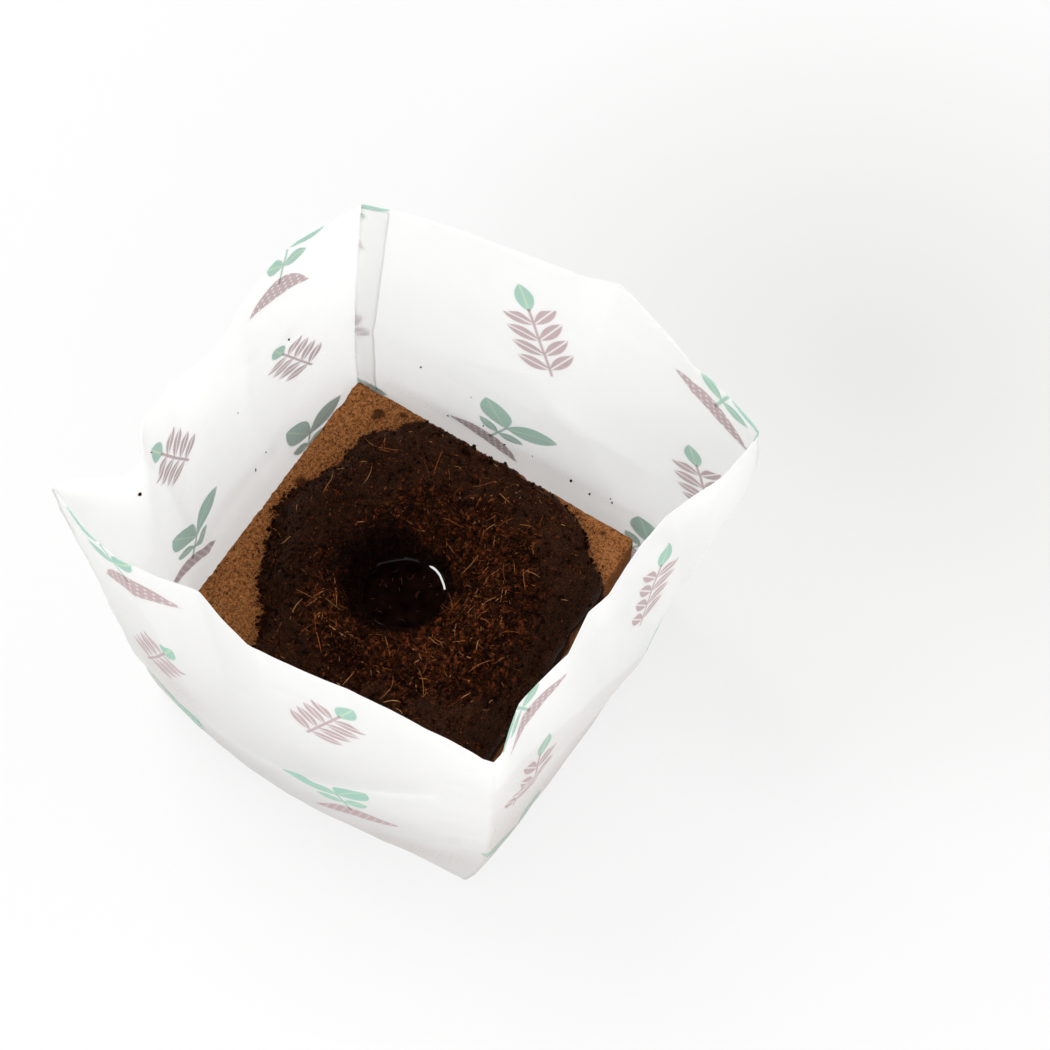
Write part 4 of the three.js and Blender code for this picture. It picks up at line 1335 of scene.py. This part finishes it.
def fibre_look():
    """Thin coconut fibre. tone runs from dark red-brown over orange to straw."""
    look = Finish("coconut fibre")
    place = look.add("TexCoord", {}, {}, output=3)
    tone = look.add("Attribute", {"attribute_name": "tone"}, {}, output=2)
    streaks = look.noise(place, 700, 2, 0.6)
    shade = (tone + (streaks - 0.5) * 0.35).clamp()
    stops = [(0, (0.020, 0.006, 0.003)), (0.40, (0.16, 0.034, 0.008)), (0.72, (0.50, 0.155, 0.034)),
             (1, (0.80, 0.42, 0.16))]
    colour = look.add("ValToRGB", {"stops": stops}, {0: shade})
    normal = look.bump(streaks, 0.0001)
    satin = look.add("BsdfPrincipled", {}, {
        "Base Color": colour, "Roughness": 0.5, "Specular IOR Level": 0.12, "Normal": normal})
    return look.finish(satin)


def favoured(level, share):
    """How likely a fibre is to lie at a spot: a little everywhere, and most in the patches."""
    total = FIBRE_LEAST + FIBRE_LOOSE * looseness(level[:, 0], level[:, 1]) - 0.03 * share
    for middle, reach, strength in FIBRE_PATCHES:
        away = (level - HOLE_CENTRE - middle) / reach
        total = total + strength * np.exp(-(away**2).sum(axis=-1))
    return total


def make_fibres(name, tries, shortest, longest, thickness, tones, springiness, steps):
    """Fibres at the favoured ones of many random spots."""
    level, share = spots_on_mound(tries, 0.05)
    kept = draw.random(tries) < favoured(level, share)
    level = level[kept]
    count = len(level)
    length = shortest + (longest - shortest) * draw.random(count) ** 1.8
    bend = 0.9 * draw.normal(size=count) * length / longest
    lift = springiness * draw.random(count) ** 2
    paths = fibre_paths(level, length, bend, lift, steps)
    points, faces = thin_tubes(paths, thickness * (0.6 + 0.8 * draw.random(count)))
    tone = np.clip(tones[0] + tones[1] * draw.random(count) ** 1.5, 0, 1)
    # Darker where soaked, and by the hole's steep wall with painted shade
    tone = np.repeat(tone * (1 - 0.6 * soaked_and_shaded(level[:, 0], level[:, 1])), 3 * steps)
    return make_piece(name, points, faces, "coir_fill", fibre_finish, {"tone": tone})


fibre_finish = fibre_look()
loose_fibres = make_fibres("loose_fibres", 1000, 5, 17, 0.16, (0.46, 0.52), 2.4, 8)
make_fibres("short_fibres", 9000, 1.2, 5.0, 0.15, (0.06, 0.9), 0.9, 4)
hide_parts(*[f"fibre_tuft_{number:02d}" for number in range(1, 13)])

# %% [markdown]
# ## Water
# The hole holds a little water, brown from the coir and so nearly black. It is flat in the middle and climbs
# the coir at its edge, where the strip of light makes a thin bright line. A mirror-smooth surface over a dark
# colour is all that the finish needs. A few short fibres float on it.

# %% Make the water
WATER_COLUMNS = 240
MENISCUS_HEIGHT = 1.8
MENISCUS_WIDTH = 4


def water_points():
    """Rows from the pool's floor out to the coir, then in over the surface to its middle. The surface rises
    at the coir as exp(-distance / width)."""
    angle = np.linspace(0, 2 * np.pi, WATER_COLUMNS, endpoint=False)
    direction = np.stack([np.cos(angle), np.sin(angle)], axis=-1)
    reach = HOLE_RADIUS - 0.7 + HOLE_OVAL * np.cos(2 * (angle - CAMERA_AZIMUTH))
    reach = reach + 0.7 * ring_noise(angle, 40, 57, 1)
    uneven = 1 + 0.28 * ring_noise(angle, 33, 65, 1)
    rows = []
    for share in (0.05, 0.5, 0.9):
        level = HOLE_CENTRE + direction * (reach * share)[:, None]
        rows.append(np.column_stack([level, np.full(len(angle), WATER_LEVEL - 12)]))
    for share in 1 - np.linspace(0, 1, 60)[:-1] ** 1.5:
        level = HOLE_CENTRE + direction * (reach * share)[:, None]
        distance = reach * (1 - share)
        rise = MENISCUS_HEIGHT * uneven * np.exp(-distance / (MENISCUS_WIDTH * uneven))
        rows.append(np.column_stack([level, WATER_LEVEL + rise - 0.2]))
    return np.stack(rows)


def water_look():
    """Still brown water, as a dark mirror."""
    look = Finish("dark water")
    place = look.add("TexCoord", {}, {}, output=3)
    silt = look.noise(place, 160, 3, 0.6)
    colour = look.mix((0.002, 0.0008, 0.0005), (0.012, 0.0045, 0.003), ((silt - 0.35) * 2.5).clamp())
    ripple = look.bump(look.noise(place, 70, 1, 0.4), 0.0006, 0.4)
    mirror = look.add("BsdfPrincipled", {}, {
        "Base Color": colour, "Roughness": 0.03, "IOR": 1.33, "Specular IOR Level": 0.5, "Normal": ripple})
    return look.finish(mirror)


water = water_points()
water_closed, water_faces = with_poles(water, grid_faces(len(water), WATER_COLUMNS, wrap_columns=True))
pool = make_piece("water_surface", water_closed, water_faces, "coir_fill", water_look())
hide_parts("water_pool")


def floating_paths(count, steps):
    """Short fibres that lie flat on the water: spots drawn evenly over a disc, and slightly bent paths."""
    angle = 2 * np.pi * draw.random(count)
    reach = 0.82 * HOLE_RADIUS * np.sqrt(draw.random(count))
    along = np.linspace(-0.5, 0.5, steps)
    heading = 2 * np.pi * draw.random((count, 1)) + 0.9 * draw.normal(size=(count, 1)) * along
    length = 1.5 + 4 * draw.random(count) ** 2
    track = np.stack([np.cos(heading), np.sin(heading)], axis=-1) * length[:, None, None] * along[:, None]
    track = track + HOLE_CENTRE + (reach * np.stack([np.cos(angle), np.sin(angle)])).T[:, None]
    return np.concatenate([track, np.full(track.shape[:2] + (1,), WATER_LEVEL)], axis=-1)


FLOATING = 34
FLOATING_STEPS = 5
lying = floating_paths(FLOATING, FLOATING_STEPS)
floating_points, floating_faces = thin_tubes(lying, 0.14 + 0.16 * draw.random(FLOATING))
floating_tone = np.repeat(0.05 + 0.3 * draw.random(FLOATING) ** 1.5, 3 * FLOATING_STEPS)
make_piece(
    "floating_fibres", floating_points, floating_faces, "coir_fill", fibre_finish,
    {"tone": floating_tone})
